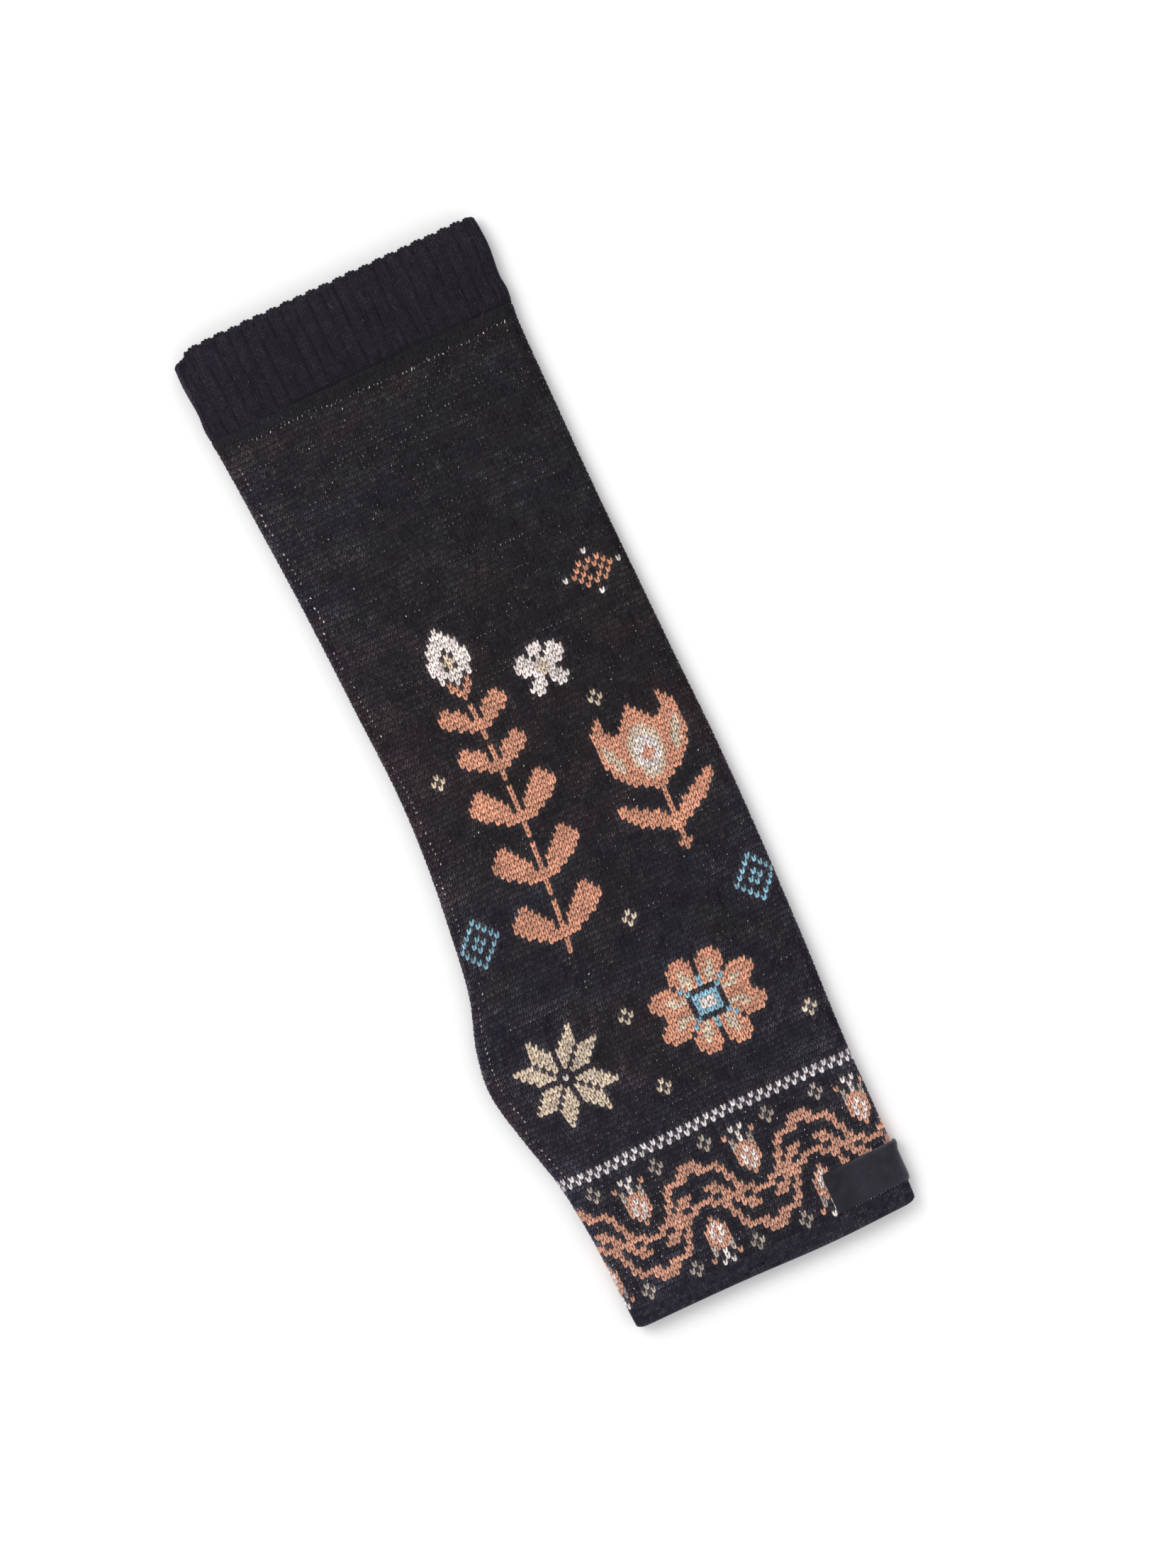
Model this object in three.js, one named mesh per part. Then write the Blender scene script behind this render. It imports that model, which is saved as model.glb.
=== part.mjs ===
// A knitted fingerless mitt that lies flat: one soft tube, open at both ends.
// X runs across the mitt, Y runs along it towards the ribbed cuff, and Z is up.
// The origin lies on the surface under the mitt, in the middle of its box.
// Every size is in millimetres.
import * as THREE from "three";

// Lengths along the mitt
const mittLength = 340;
const cuffLength = 30;
const hemLength = 6.7;
const seamGap = 0.3;

// Thickness of the knit
const bodyWall = 1.6;
const cuffWall = 1.6;
const hemWall = 1.9;

// Ribs of the cuff: each has a flat crown of two wales and a narrow valley
const ribCount = 48;
const ribDepth = 0.6;
const ribCrownShare = 0.62;
const ribValleyShare = 0.81;
const ribFadeLength = 5;
const ribScallop = 0.35;

// Free edges
const lipRounding = 0.4;
const cuffCorner = { left: 2.4, right: 1.2 };
const hemCorner = { left: 1.5, right: 1.7 };

// Label: a woven tab, sewn near the hem, that wraps round the right fold
const labelStart = { x: 27, y: -156.6 };
const labelWidth = 13.4;
const labelThickness = 1.0;
const labelClearance = 0.3;
const labelWrapAngle = THREE.MathUtils.degToRad(30);
const labelCornerRadius = 1.8;
const labelTilt = 0.012;

// Steps of the mesh round one fold quarter and across a flat side
const foldSteps = 4;
const flatSteps = 13;

// Shortest and longest distance between two sections of the body
const shortestStep = 3;
const longestStep = 20;

// The flat outline seen from above, and the height of the tube as it lies
const outline = [
  { y: -170, left: -45.6, right: 51.0, height: 9.0 },
  { y: -163, left: -45.9, right: 51.3, height: 8.7 },
  { y: -138, left: -46.8, right: 51.7, height: 8.7 },
  { y: -118, left: -49.1, right: 52.0, height: 8.7 },
  { y: -100, left: -53.5, right: 52.8, height: 8.8 },
  { y: -83, left: -56.6, right: 53.7, height: 8.9 },
  { y: -69, left: -54.7, right: 54.2, height: 8.9 },
  { y: -53, left: -49.6, right: 54.8, height: 8.8 },
  { y: -33, left: -46.5, right: 55.3, height: 8.7 },
  { y: -9, left: -43.9, right: 55.5, height: 8.6 },
  { y: 15, left: -42.9, right: 55.1, height: 8.6 },
  { y: 42, left: -43.8, right: 54.8, height: 8.7 },
  { y: 80, left: -45.2, right: 54.5, height: 8.8 },
  { y: 115, left: -47.2, right: 54.8, height: 8.9 },
  { y: 132, left: -48.3, right: 55.0, height: 8.9 },
  { y: 139, left: -49.0, right: 55.6, height: 9.0 },
  { y: 144, left: -49.4, right: 56.1, height: 9.6 },
  { y: 149, left: -49.1, right: 55.7, height: 9.6 },
  { y: 159, left: -49.8, right: 56.6, height: 10.2 },
  { y: 170, left: -49.6, right: 56.0, height: 10.0 },
];

// Soft hollows in the upper layer, where it sags between the folds
const middleSag = 0.3;
const hollows = [
  { x: -22, y: -78, across: 17, along: 26, depth: 0.3 },
  { x: 26, y: -22, across: 15, along: 34, depth: 0.25 },
  { x: -8, y: 62, across: 20, along: 38, depth: 0.3 },
  { x: 30, y: 112, across: 16, along: 16, depth: 0.2 },
];

// Stations along the cuff, measured back from its free edge
const cuffStations = [cuffLength - seamGap, 26.5, 21, 11, 3.5, 0];

const outlineCurve = new THREE.CubicInterpolant(
  outline.map((row) => row.y),
  outline.flatMap((row) => [row.left, row.right, row.height]),
  3,
);

// The stadium-shaped section at one place along the mitt
function sectionAt(y) {
  const [left, right, height] = outlineCurve.evaluate(y);
  const radius = height / 2;
  const flat = right - left - height;
  const quarter = (Math.PI * radius) / 2;
  return { left, right, radius, flat, quarter, half: flat + 2 * quarter };
}

// How far the upper layer sinks at a place, with the sag in the middle and the hollows
function sinkAt(section, x, y) {
  const across = (2 * x - section.left - section.right) / (section.right - section.left);
  let sink = middleSag * (1 - across * across);
  for (const hollow of hollows) {
    const offsetX = (x - hollow.x) / hollow.across;
    const offsetY = (y - hollow.y) / hollow.along;
    sink += hollow.depth * Math.exp(-offsetX * offsetX - offsetY * offsetY);
  }
  return sink;
}

// A point of the tube, reached by walking round the section from the left fold over the top.
// Depth is measured inwards from the outer skin.
function skinPoint(y, walk, depth) {
  const section = sectionAt(y);
  const { left, right, radius, quarter, half } = section;
  const onTop = walk <= half;
  const way = onTop ? walk : 2 * half - walk;
  const reach = radius - depth;
  let x = left + radius + way - quarter;
  let lift = reach;
  if (way < quarter) {
    x = left + radius - reach * Math.cos(way / radius);
    lift = reach * Math.sin(way / radius);
  } else if (way > half - quarter) {
    x = right - radius + reach * Math.cos((half - way) / radius);
    lift = reach * Math.sin((half - way) / radius);
  }
  if (!onTop) {
    return new THREE.Vector3(x, y, radius - lift);
  }
  const sink = (sinkAt(section, x, y) * lift) / reach;
  return new THREE.Vector3(x, y, radius + lift - sink);
}

// Walks round a whole section, close together on the folds and wide on the flat sides
function plainWalks(y) {
  const { flat, quarter, half } = sectionAt(y);
  const steps = [];
  for (let i = 0; i < foldSteps; i += 1) {
    steps.push((quarter * i) / foldSteps);
  }
  for (let i = 0; i < flatSteps; i += 1) {
    steps.push(quarter + (flat * i) / flatSteps);
  }
  for (let i = 0; i < foldSteps; i += 1) {
    steps.push(half - quarter + (quarter * i) / foldSteps);
  }
  return [...steps, ...steps.map((step) => half + step)];
}

// How much a place on the section belongs to a fold: 1 at its outermost line, 0 on the flat
function foldShare(section, x) {
  const inset = Math.min(x - section.left, section.right - x);
  return THREE.MathUtils.clamp(1 - inset / section.radius, 0, 1);
}

// Rounds the corner that a free edge has at each fold
function cornerDrop(y, x, corner) {
  const section = sectionAt(y);
  const size = x < (section.left + section.right) / 2 ? corner.left : corner.right;
  return size * foldShare(section, x) ** 2;
}

// A closed wall between an outer and an inner ring of points at each station
function wallGeometry(stations) {
  const around = stations[0].outer.length;
  const positions = [];
  for (const { outer, inner } of stations) {
    for (const point of [...outer, ...inner]) {
      positions.push(point.x, point.y, point.z);
    }
  }
  const outerIndex = (i, j) => i * 2 * around + (j % around);
  const innerIndex = (i, j) => outerIndex(i, j) + around;
  const indices = [];
  const addQuad = (a, b, c, d) => indices.push(a, b, c, a, c, d);
  const last = stations.length - 1;
  for (let j = 0; j < around; j += 1) {
    for (let i = 0; i < last; i += 1) {
      addQuad(outerIndex(i, j), outerIndex(i, j + 1), outerIndex(i + 1, j + 1), outerIndex(i + 1, j));
      addQuad(innerIndex(i, j), innerIndex(i + 1, j), innerIndex(i + 1, j + 1), innerIndex(i, j + 1));
    }
    addQuad(outerIndex(0, j), innerIndex(0, j), innerIndex(0, j + 1), outerIndex(0, j + 1));
    addQuad(outerIndex(last, j), outerIndex(last, j + 1), innerIndex(last, j + 1), innerIndex(last, j));
  }
  const geometry = new THREE.BufferGeometry();
  geometry.setAttribute("position", new THREE.Float32BufferAttribute(positions, 3));
  geometry.setIndex(indices);
  geometry.computeVertexNormals();
  return geometry;
}

// One station of a plain tube, with its two skins
function plainStation(y, wall, rounding = 0) {
  const walks = plainWalks(y);
  return {
    outer: walks.map((walk) => skinPoint(y, walk, rounding)),
    inner: walks.map((walk) => skinPoint(y, walk, wall - rounding)),
  };
}

// Places of the body's sections: each row of the outline, and halfway where two rows lie far apart
function bodyPlaces() {
  const start = -mittLength / 2 + hemLength + seamGap;
  const end = mittLength / 2 - cuffLength;
  const rows = outline.map((row) => row.y);
  const marks = [...rows.filter((y) => y > start + shortestStep && y < end - shortestStep), end];
  const places = [start];
  for (const mark of marks) {
    const previous = places[places.length - 1];
    if (mark - previous > longestStep) {
      places.push((previous + mark) / 2);
    }
    places.push(mark);
  }
  return places;
}

// The patterned main tube
function bodyGeometry() {
  return wallGeometry(bodyPlaces().map((y) => plainStation(y, bodyWall)));
}

// The plain edge at the hand end, with its rounded lip and corners
function hemGeometry() {
  const edge = -mittLength / 2;
  const stations = [
    plainStation(edge, hemWall, lipRounding),
    plainStation(edge + 1.6, hemWall),
    plainStation(edge + hemLength, hemWall),
  ];
  for (const skin of [stations[0].outer, stations[0].inner]) {
    for (const point of skin) {
      point.y += cornerDrop(edge, point.x, hemCorner);
    }
  }
  stations[1].outer.forEach((point) => {
    point.y += cornerDrop(edge, point.x, hemCorner) / 2;
  });
  return wallGeometry(stations);
}

// One station of the ribbed cuff: two crown points and one valley point for each rib
function ribbedStation(back) {
  const y = mittLength / 2 - back;
  const free = back === 0;
  const { half } = sectionAt(y);
  const pitch = (2 * half) / ribCount;
  const sinceSeam = cuffLength - back;
  const depth = ribDepth * THREE.MathUtils.smoothstep(sinceSeam, -ribFadeLength / 2, ribFadeLength);
  const rounding = free ? lipRounding : 0;
  const outer = [];
  const inner = [];
  const addPair = (share, rib, sunk) => {
    const walk = (rib + share) * pitch;
    const scallop = free && sunk > 0 ? ribScallop : 0;
    for (const [skin, skinDepth] of [[outer, sunk + rounding], [inner, cuffWall + sunk - rounding]]) {
      const point = skinPoint(y, walk, skinDepth);
      if (free) {
        point.y -= scallop + cornerDrop(y, point.x, cuffCorner);
      }
      skin.push(point);
    }
  };
  for (let rib = 0; rib < ribCount; rib += 1) {
    addPair(0, rib, 0);
    addPair(ribCrownShare, rib, 0);
    addPair(ribValleyShare, rib, depth);
  }
  return { outer, inner };
}

// The ribbed cuff at the arm end
function cuffGeometry() {
  return wallGeometry(cuffStations.map(ribbedStation));
}

// The label follows the outer skin at a small clearance, from the flat side round the right fold
function labelGeometry() {
  const section = sectionAt(labelStart.y);
  const firstWalk = labelStart.x - section.left - section.radius + section.quarter;
  const foldWalk = section.half - section.quarter;
  const lastWalk = section.half + section.radius * labelWrapAngle;
  const foldPitch = section.quarter / foldSteps;
  const walks = [
    firstWalk,
    firstWalk + labelCornerRadius * 0.3,
    firstWalk + labelCornerRadius,
    (firstWalk + foldWalk) / 2,
  ];
  for (let walk = foldWalk; walk < lastWalk - foldPitch / 2; walk += foldPitch) {
    walks.push(walk);
  }
  walks.push(lastWalk);
  const lifts = [-labelClearance - labelThickness, -labelClearance];
  const positions = [];
  for (const walk of walks) {
    const fromEnd = Math.max(0, 1 - (walk - firstWalk) / labelCornerRadius);
    const inset = labelCornerRadius * (1 - Math.sqrt(1 - fromEnd * fromEnd));
    const middle = labelStart.y + labelTilt * (walk - firstWalk);
    for (const side of [-1, 1]) {
      for (const depth of lifts) {
        const point = skinPoint(middle + side * (labelWidth / 2 - inset), walk, depth);
        positions.push(point.x, point.y, point.z);
      }
    }
  }
  // Corners of one cross cut: low edge outside, low edge inside, high edge outside, high edge inside
  const indices = [];
  const addQuad = (a, b, c, d) => indices.push(a, b, c, a, c, d);
  const corner = (station, index) => station * 4 + index;
  const last = walks.length - 1;
  for (let i = 0; i < last; i += 1) {
    addQuad(corner(i, 0), corner(i + 1, 0), corner(i + 1, 2), corner(i, 2));
    addQuad(corner(i, 1), corner(i, 3), corner(i + 1, 3), corner(i + 1, 1));
    addQuad(corner(i, 0), corner(i, 1), corner(i + 1, 1), corner(i + 1, 0));
    addQuad(corner(i, 2), corner(i + 1, 2), corner(i + 1, 3), corner(i, 3));
  }
  addQuad(corner(0, 0), corner(0, 2), corner(0, 3), corner(0, 1));
  addQuad(corner(last, 0), corner(last, 1), corner(last, 3), corner(last, 2));
  const geometry = new THREE.BufferGeometry();
  geometry.setAttribute("position", new THREE.Float32BufferAttribute(positions, 3));
  geometry.setIndex(indices);
  geometry.computeVertexNormals();
  return geometry;
}

const knitBlack = new THREE.MeshStandardMaterial({ color: 0x17171d, roughness: 0.95, metalness: 0 });
const knitCharcoal = new THREE.MeshStandardMaterial({ color: 0x26252b, roughness: 0.95, metalness: 0 });
const knitNavy = new THREE.MeshStandardMaterial({ color: 0x15151d, roughness: 0.95, metalness: 0 });
const satinBlack = new THREE.MeshStandardMaterial({ color: 0x101116, roughness: 0.45, metalness: 0 });

function namedMesh(name, geometry, material) {
  const mesh = new THREE.Mesh(geometry, material);
  mesh.name = name;
  return mesh;
}

const mitt = new THREE.Group();
mitt.add(namedMesh("rib_cuff", cuffGeometry(), knitBlack));
mitt.add(namedMesh("body", bodyGeometry(), knitCharcoal));
mitt.add(namedMesh("hem", hemGeometry(), knitNavy));
mitt.add(namedMesh("label", labelGeometry(), satinBlack));

export default mitt;
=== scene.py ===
import math

import bpy
import numpy as np
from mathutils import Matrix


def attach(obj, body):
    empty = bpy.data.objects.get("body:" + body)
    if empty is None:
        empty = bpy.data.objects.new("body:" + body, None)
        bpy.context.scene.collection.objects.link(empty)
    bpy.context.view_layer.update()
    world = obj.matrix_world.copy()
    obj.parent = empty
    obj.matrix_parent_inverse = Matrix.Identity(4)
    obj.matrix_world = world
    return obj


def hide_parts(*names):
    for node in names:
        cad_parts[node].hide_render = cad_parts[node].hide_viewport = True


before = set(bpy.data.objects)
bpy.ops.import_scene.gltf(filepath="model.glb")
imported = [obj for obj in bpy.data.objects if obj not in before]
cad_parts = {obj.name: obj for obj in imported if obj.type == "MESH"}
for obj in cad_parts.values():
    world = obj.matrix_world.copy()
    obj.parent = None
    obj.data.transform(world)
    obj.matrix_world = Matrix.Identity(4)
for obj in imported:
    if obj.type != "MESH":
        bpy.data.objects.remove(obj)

# A knitted fingerless mitt, dressed stitch by stitch over its CAD tube.
# Lengths in the dictionaries are in millimetres and tones are screen values of 0 to 255.
# X runs across the mitt, Y along it towards the ribbed cuff, Z is up from the floor.
print("Frame loaded:", ", ".join(sorted(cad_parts)))
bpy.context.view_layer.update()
millimetre = 0.001


# Working helpers
def deselectAll():
    if bpy.context.object is not None and bpy.context.object.mode != "OBJECT":
        bpy.ops.object.mode_set(mode="OBJECT")
    bpy.ops.object.select_all(action="DESELECT")


def pick(piece):
    deselectAll()
    piece.select_set(True)
    bpy.context.view_layer.objects.active = piece


def startPiece(name, primitive, **settings):
    deselectAll()
    primitive(**settings)
    piece = bpy.context.object
    piece.name = piece.data.name = name
    return piece


def applyModifier(piece, kind, **settings):
    pick(piece)
    modifier = piece.modifiers.new(kind.lower(), kind)
    for setting, value in settings.items():
        setattr(modifier, setting, value)
    bpy.ops.object.modifier_apply(modifier=modifier.name)


def readPoints(piece):
    points = np.empty(len(piece.data.vertices) * 3)
    piece.data.vertices.foreach_get("co", points)
    return points.reshape(-1, 3)


def writePoints(piece, points):
    piece.data.vertices.foreach_set("co", np.asarray(points, float).ravel())
    piece.data.update()


def movePoints(piece, chosen, shift, scale=(1, 1, 1)):
    # Chosen is a list of true and false for each vertex
    pick(piece)
    bpy.ops.object.mode_set(mode="EDIT")
    bpy.ops.mesh.select_mode(type="VERT")
    bpy.ops.mesh.select_all(action="DESELECT")
    bpy.ops.object.mode_set(mode="OBJECT")
    for vertex, on in zip(piece.data.vertices, chosen):
        vertex.select = bool(on)
    bpy.ops.object.mode_set(mode="EDIT")
    bpy.ops.transform.resize(value=scale)
    bpy.ops.transform.translate(value=shift)
    bpy.ops.object.mode_set(mode="OBJECT")


def mergeAndTurnOut(piece, reach=1e-7):
    pick(piece)
    bpy.ops.object.mode_set(mode="EDIT")
    bpy.ops.mesh.select_all(action="SELECT")
    bpy.ops.mesh.remove_doubles(threshold=reach)
    bpy.ops.mesh.normals_make_consistent(inside=False)
    bpy.ops.object.mode_set(mode="OBJECT")


def smooth(piece):
    pick(piece)
    bpy.ops.object.shade_smooth()
    return piece


def repeatPiece(piece, count, step):
    applyModifier(
        piece, "ARRAY", count=count, use_relative_offset=False,
        use_constant_offset=True, constant_offset_displace=step,
    )


def spreadCopies(piece, count, apart=4):
    # Lays copies side by side. Gives the piece, and the points of each copy about its own middle.
    repeatPiece(piece, count, (apart, 0, 0))
    units = readPoints(piece).reshape(count, -1, 3)
    units[..., 0] -= apart * np.arange(count)[:, None]
    return piece, np.moveaxis(units, -1, 0)


def makeBeads(name, count, segments=8, rings=6):
    sphere = bpy.ops.mesh.primitive_uv_sphere_add
    return spreadCopies(startPiece(name, sphere, segments=segments, ring_count=rings, radius=1), count)


def linearTone(tone):
    share = np.asarray(tone, float) / 255
    return np.where(share <= 0.04045, share / 12.92, ((share + 0.055) / 1.055) ** 2.4)


def drawTones(draw, tones, count):
    return linearTone(tones)[draw.integers(0, len(tones), count)]


def smoothStep(value, low, high):
    share = np.clip((value - low) / (high - low), 0, 1)
    return share * share * (3 - 2 * share)


def away(value, middle, reach):
    # 1 at the middle, falling off softly to both sides
    return np.exp(-((value - middle) / reach) ** 2)


# Camera, straight above the mitt and turned as in the photograph
cameraView = {
    "target": (12.9, -7.79, 8),
    "distance": 2500,
    "frameHeight": 492.2,
    "turn": -25.1,
    "sensor": 36,
    "clipEnd": 20,   # metres
}


def placeCamera():
    x, y, z = cameraView["target"]
    camera = startPiece(
        "camera_above", bpy.ops.object.camera_add,
        location=(x * millimetre, y * millimetre, (z + cameraView["distance"]) * millimetre),
        rotation=(0, 0, math.radians(cameraView["turn"])),
    )
    camera.data.sensor_width = cameraView["sensor"]
    camera.data.lens = cameraView["distance"] * cameraView["sensor"] / cameraView["frameHeight"]
    camera.data.clip_end = cameraView["clipEnd"]
    camera.data.dof.use_dof = False
    bpy.context.scene.camera = camera


placeCamera()


# The skin of the tube, with the same rows and hollows as the CAD model
tube = {
    "length": 340,
    "cuffLength": 30,
    "hemLength": 6.7,
    "seamGap": 0.3,
    "wall": {"cuff": 1.6, "body": 1.6, "hem": 1.9},
    "middleSag": 0.3,
    # At a free edge: how far it reaches inwards, and how much is taken off at the left and right fold
    "cuffCorner": (4, (1.7, 1.2)),
    "hemCorner": (2.4, (0.6, 0.8)),
    "cuffNotch": (10, ((2.2, 4, 5.5), (0.6, 4, 12))),   # depth of each step, and where it starts and ends
    "hemBow": (20, 0.35, 1.0, 22, 24),   # reach, rise at the ends, fall in the middle, its place and width
}
halfLength = tube["length"] / 2
# Place along the mitt, left side, right side, height as it lies
outlineRows = np.array([
    (-170, -45.6, 51.0, 9.0),
    (-163, -45.9, 51.3, 8.7),
    (-138, -46.8, 51.7, 8.7),
    (-118, -49.1, 52.0, 8.7),
    (-100, -53.5, 52.8, 8.8),
    (-83, -56.6, 53.7, 8.9),
    (-69, -54.7, 54.2, 8.9),
    (-53, -49.6, 54.8, 8.8),
    (-33, -46.5, 55.3, 8.7),
    (-9, -43.9, 55.5, 8.6),
    (15, -42.9, 55.1, 8.6),
    (42, -43.8, 54.8, 8.7),
    (80, -45.2, 54.5, 8.8),
    (115, -47.2, 54.8, 8.9),
    (132, -48.3, 55.0, 8.9),
    (139, -49.0, 55.6, 9.0),
    (144, -49.4, 56.1, 9.6),
    (149, -49.1, 55.7, 9.6),
    (159, -49.8, 56.6, 10.2),
    (170, -49.6, 56.0, 10.0),
])
# Middle x, middle y, reach across, reach along, depth
hollowRows = [
    (-22, -78, 17, 26, 0.3),
    (26, -22, 15, 34, 0.25),
    (-8, 62, 20, 38, 0.3),
    (30, 112, 16, 16, 0.2),
]


def outlineAt(along):
    # Hermite curve through the rows, each slope taken between its two neighbours
    places, values = outlineRows[:, 0], outlineRows[:, 1:]
    step = np.arange(len(places))
    before, after = np.maximum(step - 1, 0), np.minimum(step + 1, step[-1])
    slopes = (values[after] - values[before]) / (places[after] - places[before])[:, None]
    index = np.clip(np.searchsorted(places, along) - 1, 0, len(places) - 2)
    span = (places[index + 1] - places[index])[..., None]
    share = (along - places[index])[..., None] / span
    square, cube = share ** 2, share ** 3
    found = (
        (2 * cube - 3 * square + 1) * values[index]
        + (cube - 2 * square + share) * span * slopes[index]
        + (3 * square - 2 * cube) * values[index + 1]
        + (cube - square) * span * slopes[index + 1]
    )
    return np.moveaxis(found, -1, 0)


def nearEdge(along, reach):
    # 1 at the cuff's free edge, 0 from its reach inwards; the hem's edge takes along with a minus
    return np.clip(1 - (halfLength - along) / reach, 0, 1)


def skinPoints(along, share, depth):
    # Share goes once round the tube: 0 at the left fold, over the top to the right fold at 0.5,
    # and back along the floor. Depth is measured inwards from the skin.
    along, share, depth = np.broadcast_arrays(*(np.asarray(value, float) for value in (along, share, depth)))
    left, right, height = outlineAt(np.clip(along, -halfLength, halfLength))
    radius = height / 2
    quarter = math.pi * radius / 2
    half = right - left - height + 2 * quarter
    walk = (share % 1) * 2 * half
    onTop = walk <= half
    way = np.where(onTop, walk, 2 * half - walk)
    reach = radius - depth
    fromFold = np.minimum(way, half - way)
    angle = np.clip(fromFold / radius, 0, math.pi / 2)
    lift = reach * np.sin(angle)
    x = left + radius + way - quarter
    x = np.where(way < quarter, left + radius - reach * np.cos(angle), x)
    x = np.where(way > half - quarter, right - radius + reach * np.cos(angle), x)
    across = (2 * x - left - right) / (right - left)
    sink = tube["middleSag"] * (1 - across ** 2)
    for middleX, middleY, reachX, reachY, deep in hollowRows:
        sink = sink + deep * away(x, middleX, reachX) * away(along, middleY, reachY)
    z = np.where(onTop, radius + lift - sink * np.sin(angle), radius - lift)
    inset = np.minimum(x - left, right - x)
    foldShare = np.clip(1 - inset / radius, 0, 1) ** 3
    onLeft = x < (left + right) / 2
    cuffReach, cuffCorner = tube["cuffCorner"]
    hemReach, hemCorner = tube["hemCorner"]
    notchReach, notchSteps = tube["cuffNotch"]
    bowReach, rise, fall, bowPlace, bowWidth = tube["hemBow"]
    notch = sum(deep * (1 - smoothStep(inset, near, far)) for deep, near, far in notchSteps)
    y = along - foldShare * nearEdge(along, cuffReach) * np.where(onLeft, *cuffCorner)
    y = y - np.where(onLeft, notch * nearEdge(along, notchReach), 0)
    y = y + foldShare * nearEdge(-along, hemReach) * np.where(onLeft, *hemCorner)
    bow = rise - fall * away(x, bowPlace, bowWidth)
    y = y + bow * smoothStep(-along, halfLength - bowReach, halfLength)
    return np.stack([x, y, z], axis=-1) * millimetre


# Yarns, by their letter in the charts
yarnTones = {
    ".": (43, 40, 47),   # charcoal ground
    "D": (36, 34, 40),   # plain rows beside the cuff
    "E": (35, 33, 39),   # the last row before the cuff
    "T": (213, 160, 136),  # tan of the border
    "A": (223, 161, 131),  # warmer tan of the motifs above it
    "B": (222, 204, 181),  # beige
    "C": (180, 168, 158),  # greyer beige of the border
    "W": (242, 232, 228),  # white
    "G": (233, 227, 230),  # cool white of the band
    "U": (143, 190, 211),  # blue
    "O": (255, 124, 82),  # orange
}

# The knit of the body: wales round the tube and rows along it
knit = {
    "wales": 136,
    "borderRows": 25,
    "borderStart": -163.0,
    "borderEnd": -117.0,
    "bodyRows": 146,
    "bodyEnd": 139.95,
    "plainRows": 3,
    "groundDepth": 0.5,
    "drift": ((0.3, 3, 2 * math.pi / 190, 0), (0.18, 7, -2 * math.pi / 120, 0.6 * math.pi)),   # waves
    "driftFade": 25,
}
rowCount = knit["borderRows"] + knit["bodyRows"]
halfRound = knit["wales"] // 2
rowEdges = np.concatenate([
    np.linspace(knit["borderStart"], knit["borderEnd"], knit["borderRows"] + 1),
    np.linspace(knit["borderEnd"], knit["bodyEnd"], knit["bodyRows"] + 1)[1:],
])

# Border repeat of 25 wales, upper half, from its top row down.
# The lower half is the same drawing turned top to bottom and moved by 12 wales.
borderRepeat = """
    .........................
    ........B.............B..
    .......B.B....W.W....B.B.
    ........B...T..W..T...B..
    .TTTT........B.W.B.......
    TTTTTT.......BTTTB.......
    TT..TTTTT....TTWTT....TTT
    ........TT...TWTWT...TT..
    .........T...TWTWT...T...
    .........TT...TWT...TT...
    ..........T....T....T....
    ..........TT.......TT....
    ........TTTTTT...TTTTTT..
    .........TT..TTTTT..TT...
    ..........TTT.....TTT....
    ...........TTT...TTT.....
""".split()

borderPlace = {"wale": 23, "top": 22, "bottom": -2, "shift": 12, "rosetteRows": 4}

# Left halves of the motifs with their middle wale, as knitting charts from the top row down
motifHalves = {
    "tulip": """
    ....T......T
    ...TT.....TT
    ..TTT....TTT
    ..TTTT..TTTT
    ..TTTTTTTTBB
    ..TBTTTTTBBB
    ..TBBTTTBBWW
    ..TBBTTTBWWW
    ..TTBBTTBWWO
    ...TBBTTBWOO
    ...TTBTTBWWO
    ....TTTTTBWW
    .....TTTTBBW
    ......TTTTBB
    ........TTTT
    ..........TT
    .TT........T
    .TTTT......T
    ..TTTTT....T
    ...TTTTTT..T
    ....TTTTTT.T
    ......TTTTTT
    ........TTTT
    ..........TT
    ...........T
    ...........T
    ..........TT
    ...........T
    """,
    "blossom": """
    .......TTT..
    ......TTTTT.
    ......TTBTT.
    ......TTBBT.
    ..TTTT.TBBTU
    .TTTTTTUTBTU
    .TTTBBTTU...
    ..TTTBBB.UUU
    ...TTTTT.UWW
    ...TTTTT.UWW
    ..TTTBBB.UUU
    .TTTBBTTU...
    .TTTTTTUTBTU
    ..TTTT.TBBTU
    ......TTBBT.
    ......TTBTT.
    ......TTTTT.
    .......TTT..
    """,
    "star": """
    ....B....
    ....BB...
    ....BBB..
    ....BBBB.
    BBBB.BBB.
    .BBBB.BB.
    ..BBBB.B.
    ...BBBB..
    ........W
    """,
    "leafPair": """
    ..TT......
    .TTTT....T
    TTTTTT...T
    TTTTTTT..T
    .TTTTTTT.T
    ..TTTTTT.T
    ....TTTTTT
    ......TTTT
    .........T
    .........T
    .........T
    """,
    "smallLeafPair": """
    .TT.....
    TTTTT..T
    TTTTTT.T
    .TTTTT.T
    ...TTTTT
    .....TTT
    .......T
    .......T
    """,
    "bud": """
    ....W
    ...WW
    ..WWW
    .WWWW
    .WWW.
    WWW.B
    WWWBB
    WWW.B
    .WWWW
    .W.WW
    ..T.W
    ..TT.
    ...TT
    ....T
    """,
    "daisy": """
    ....WW
    .WW.WW
    WWWW.W
    WWWWWB
    .WWWBB
    ...WWB
    ..WWW.
    .WWWW.
    ..WW..
    """,
    "diamond": """
    ....U
    ...U.
    ..U..
    .U..U
    U..U.
    """,
    "seed": """
    ......W
    .......
    ....T.T
    ...T.T.
    W.T.T..
    """,
    "rosette": """
    ..B
    .B.
    """,
    "heart": """
    .OO.
    OOOO
    OOOO
    .OOO
    ..OO
    ...O
    """,
}
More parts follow.
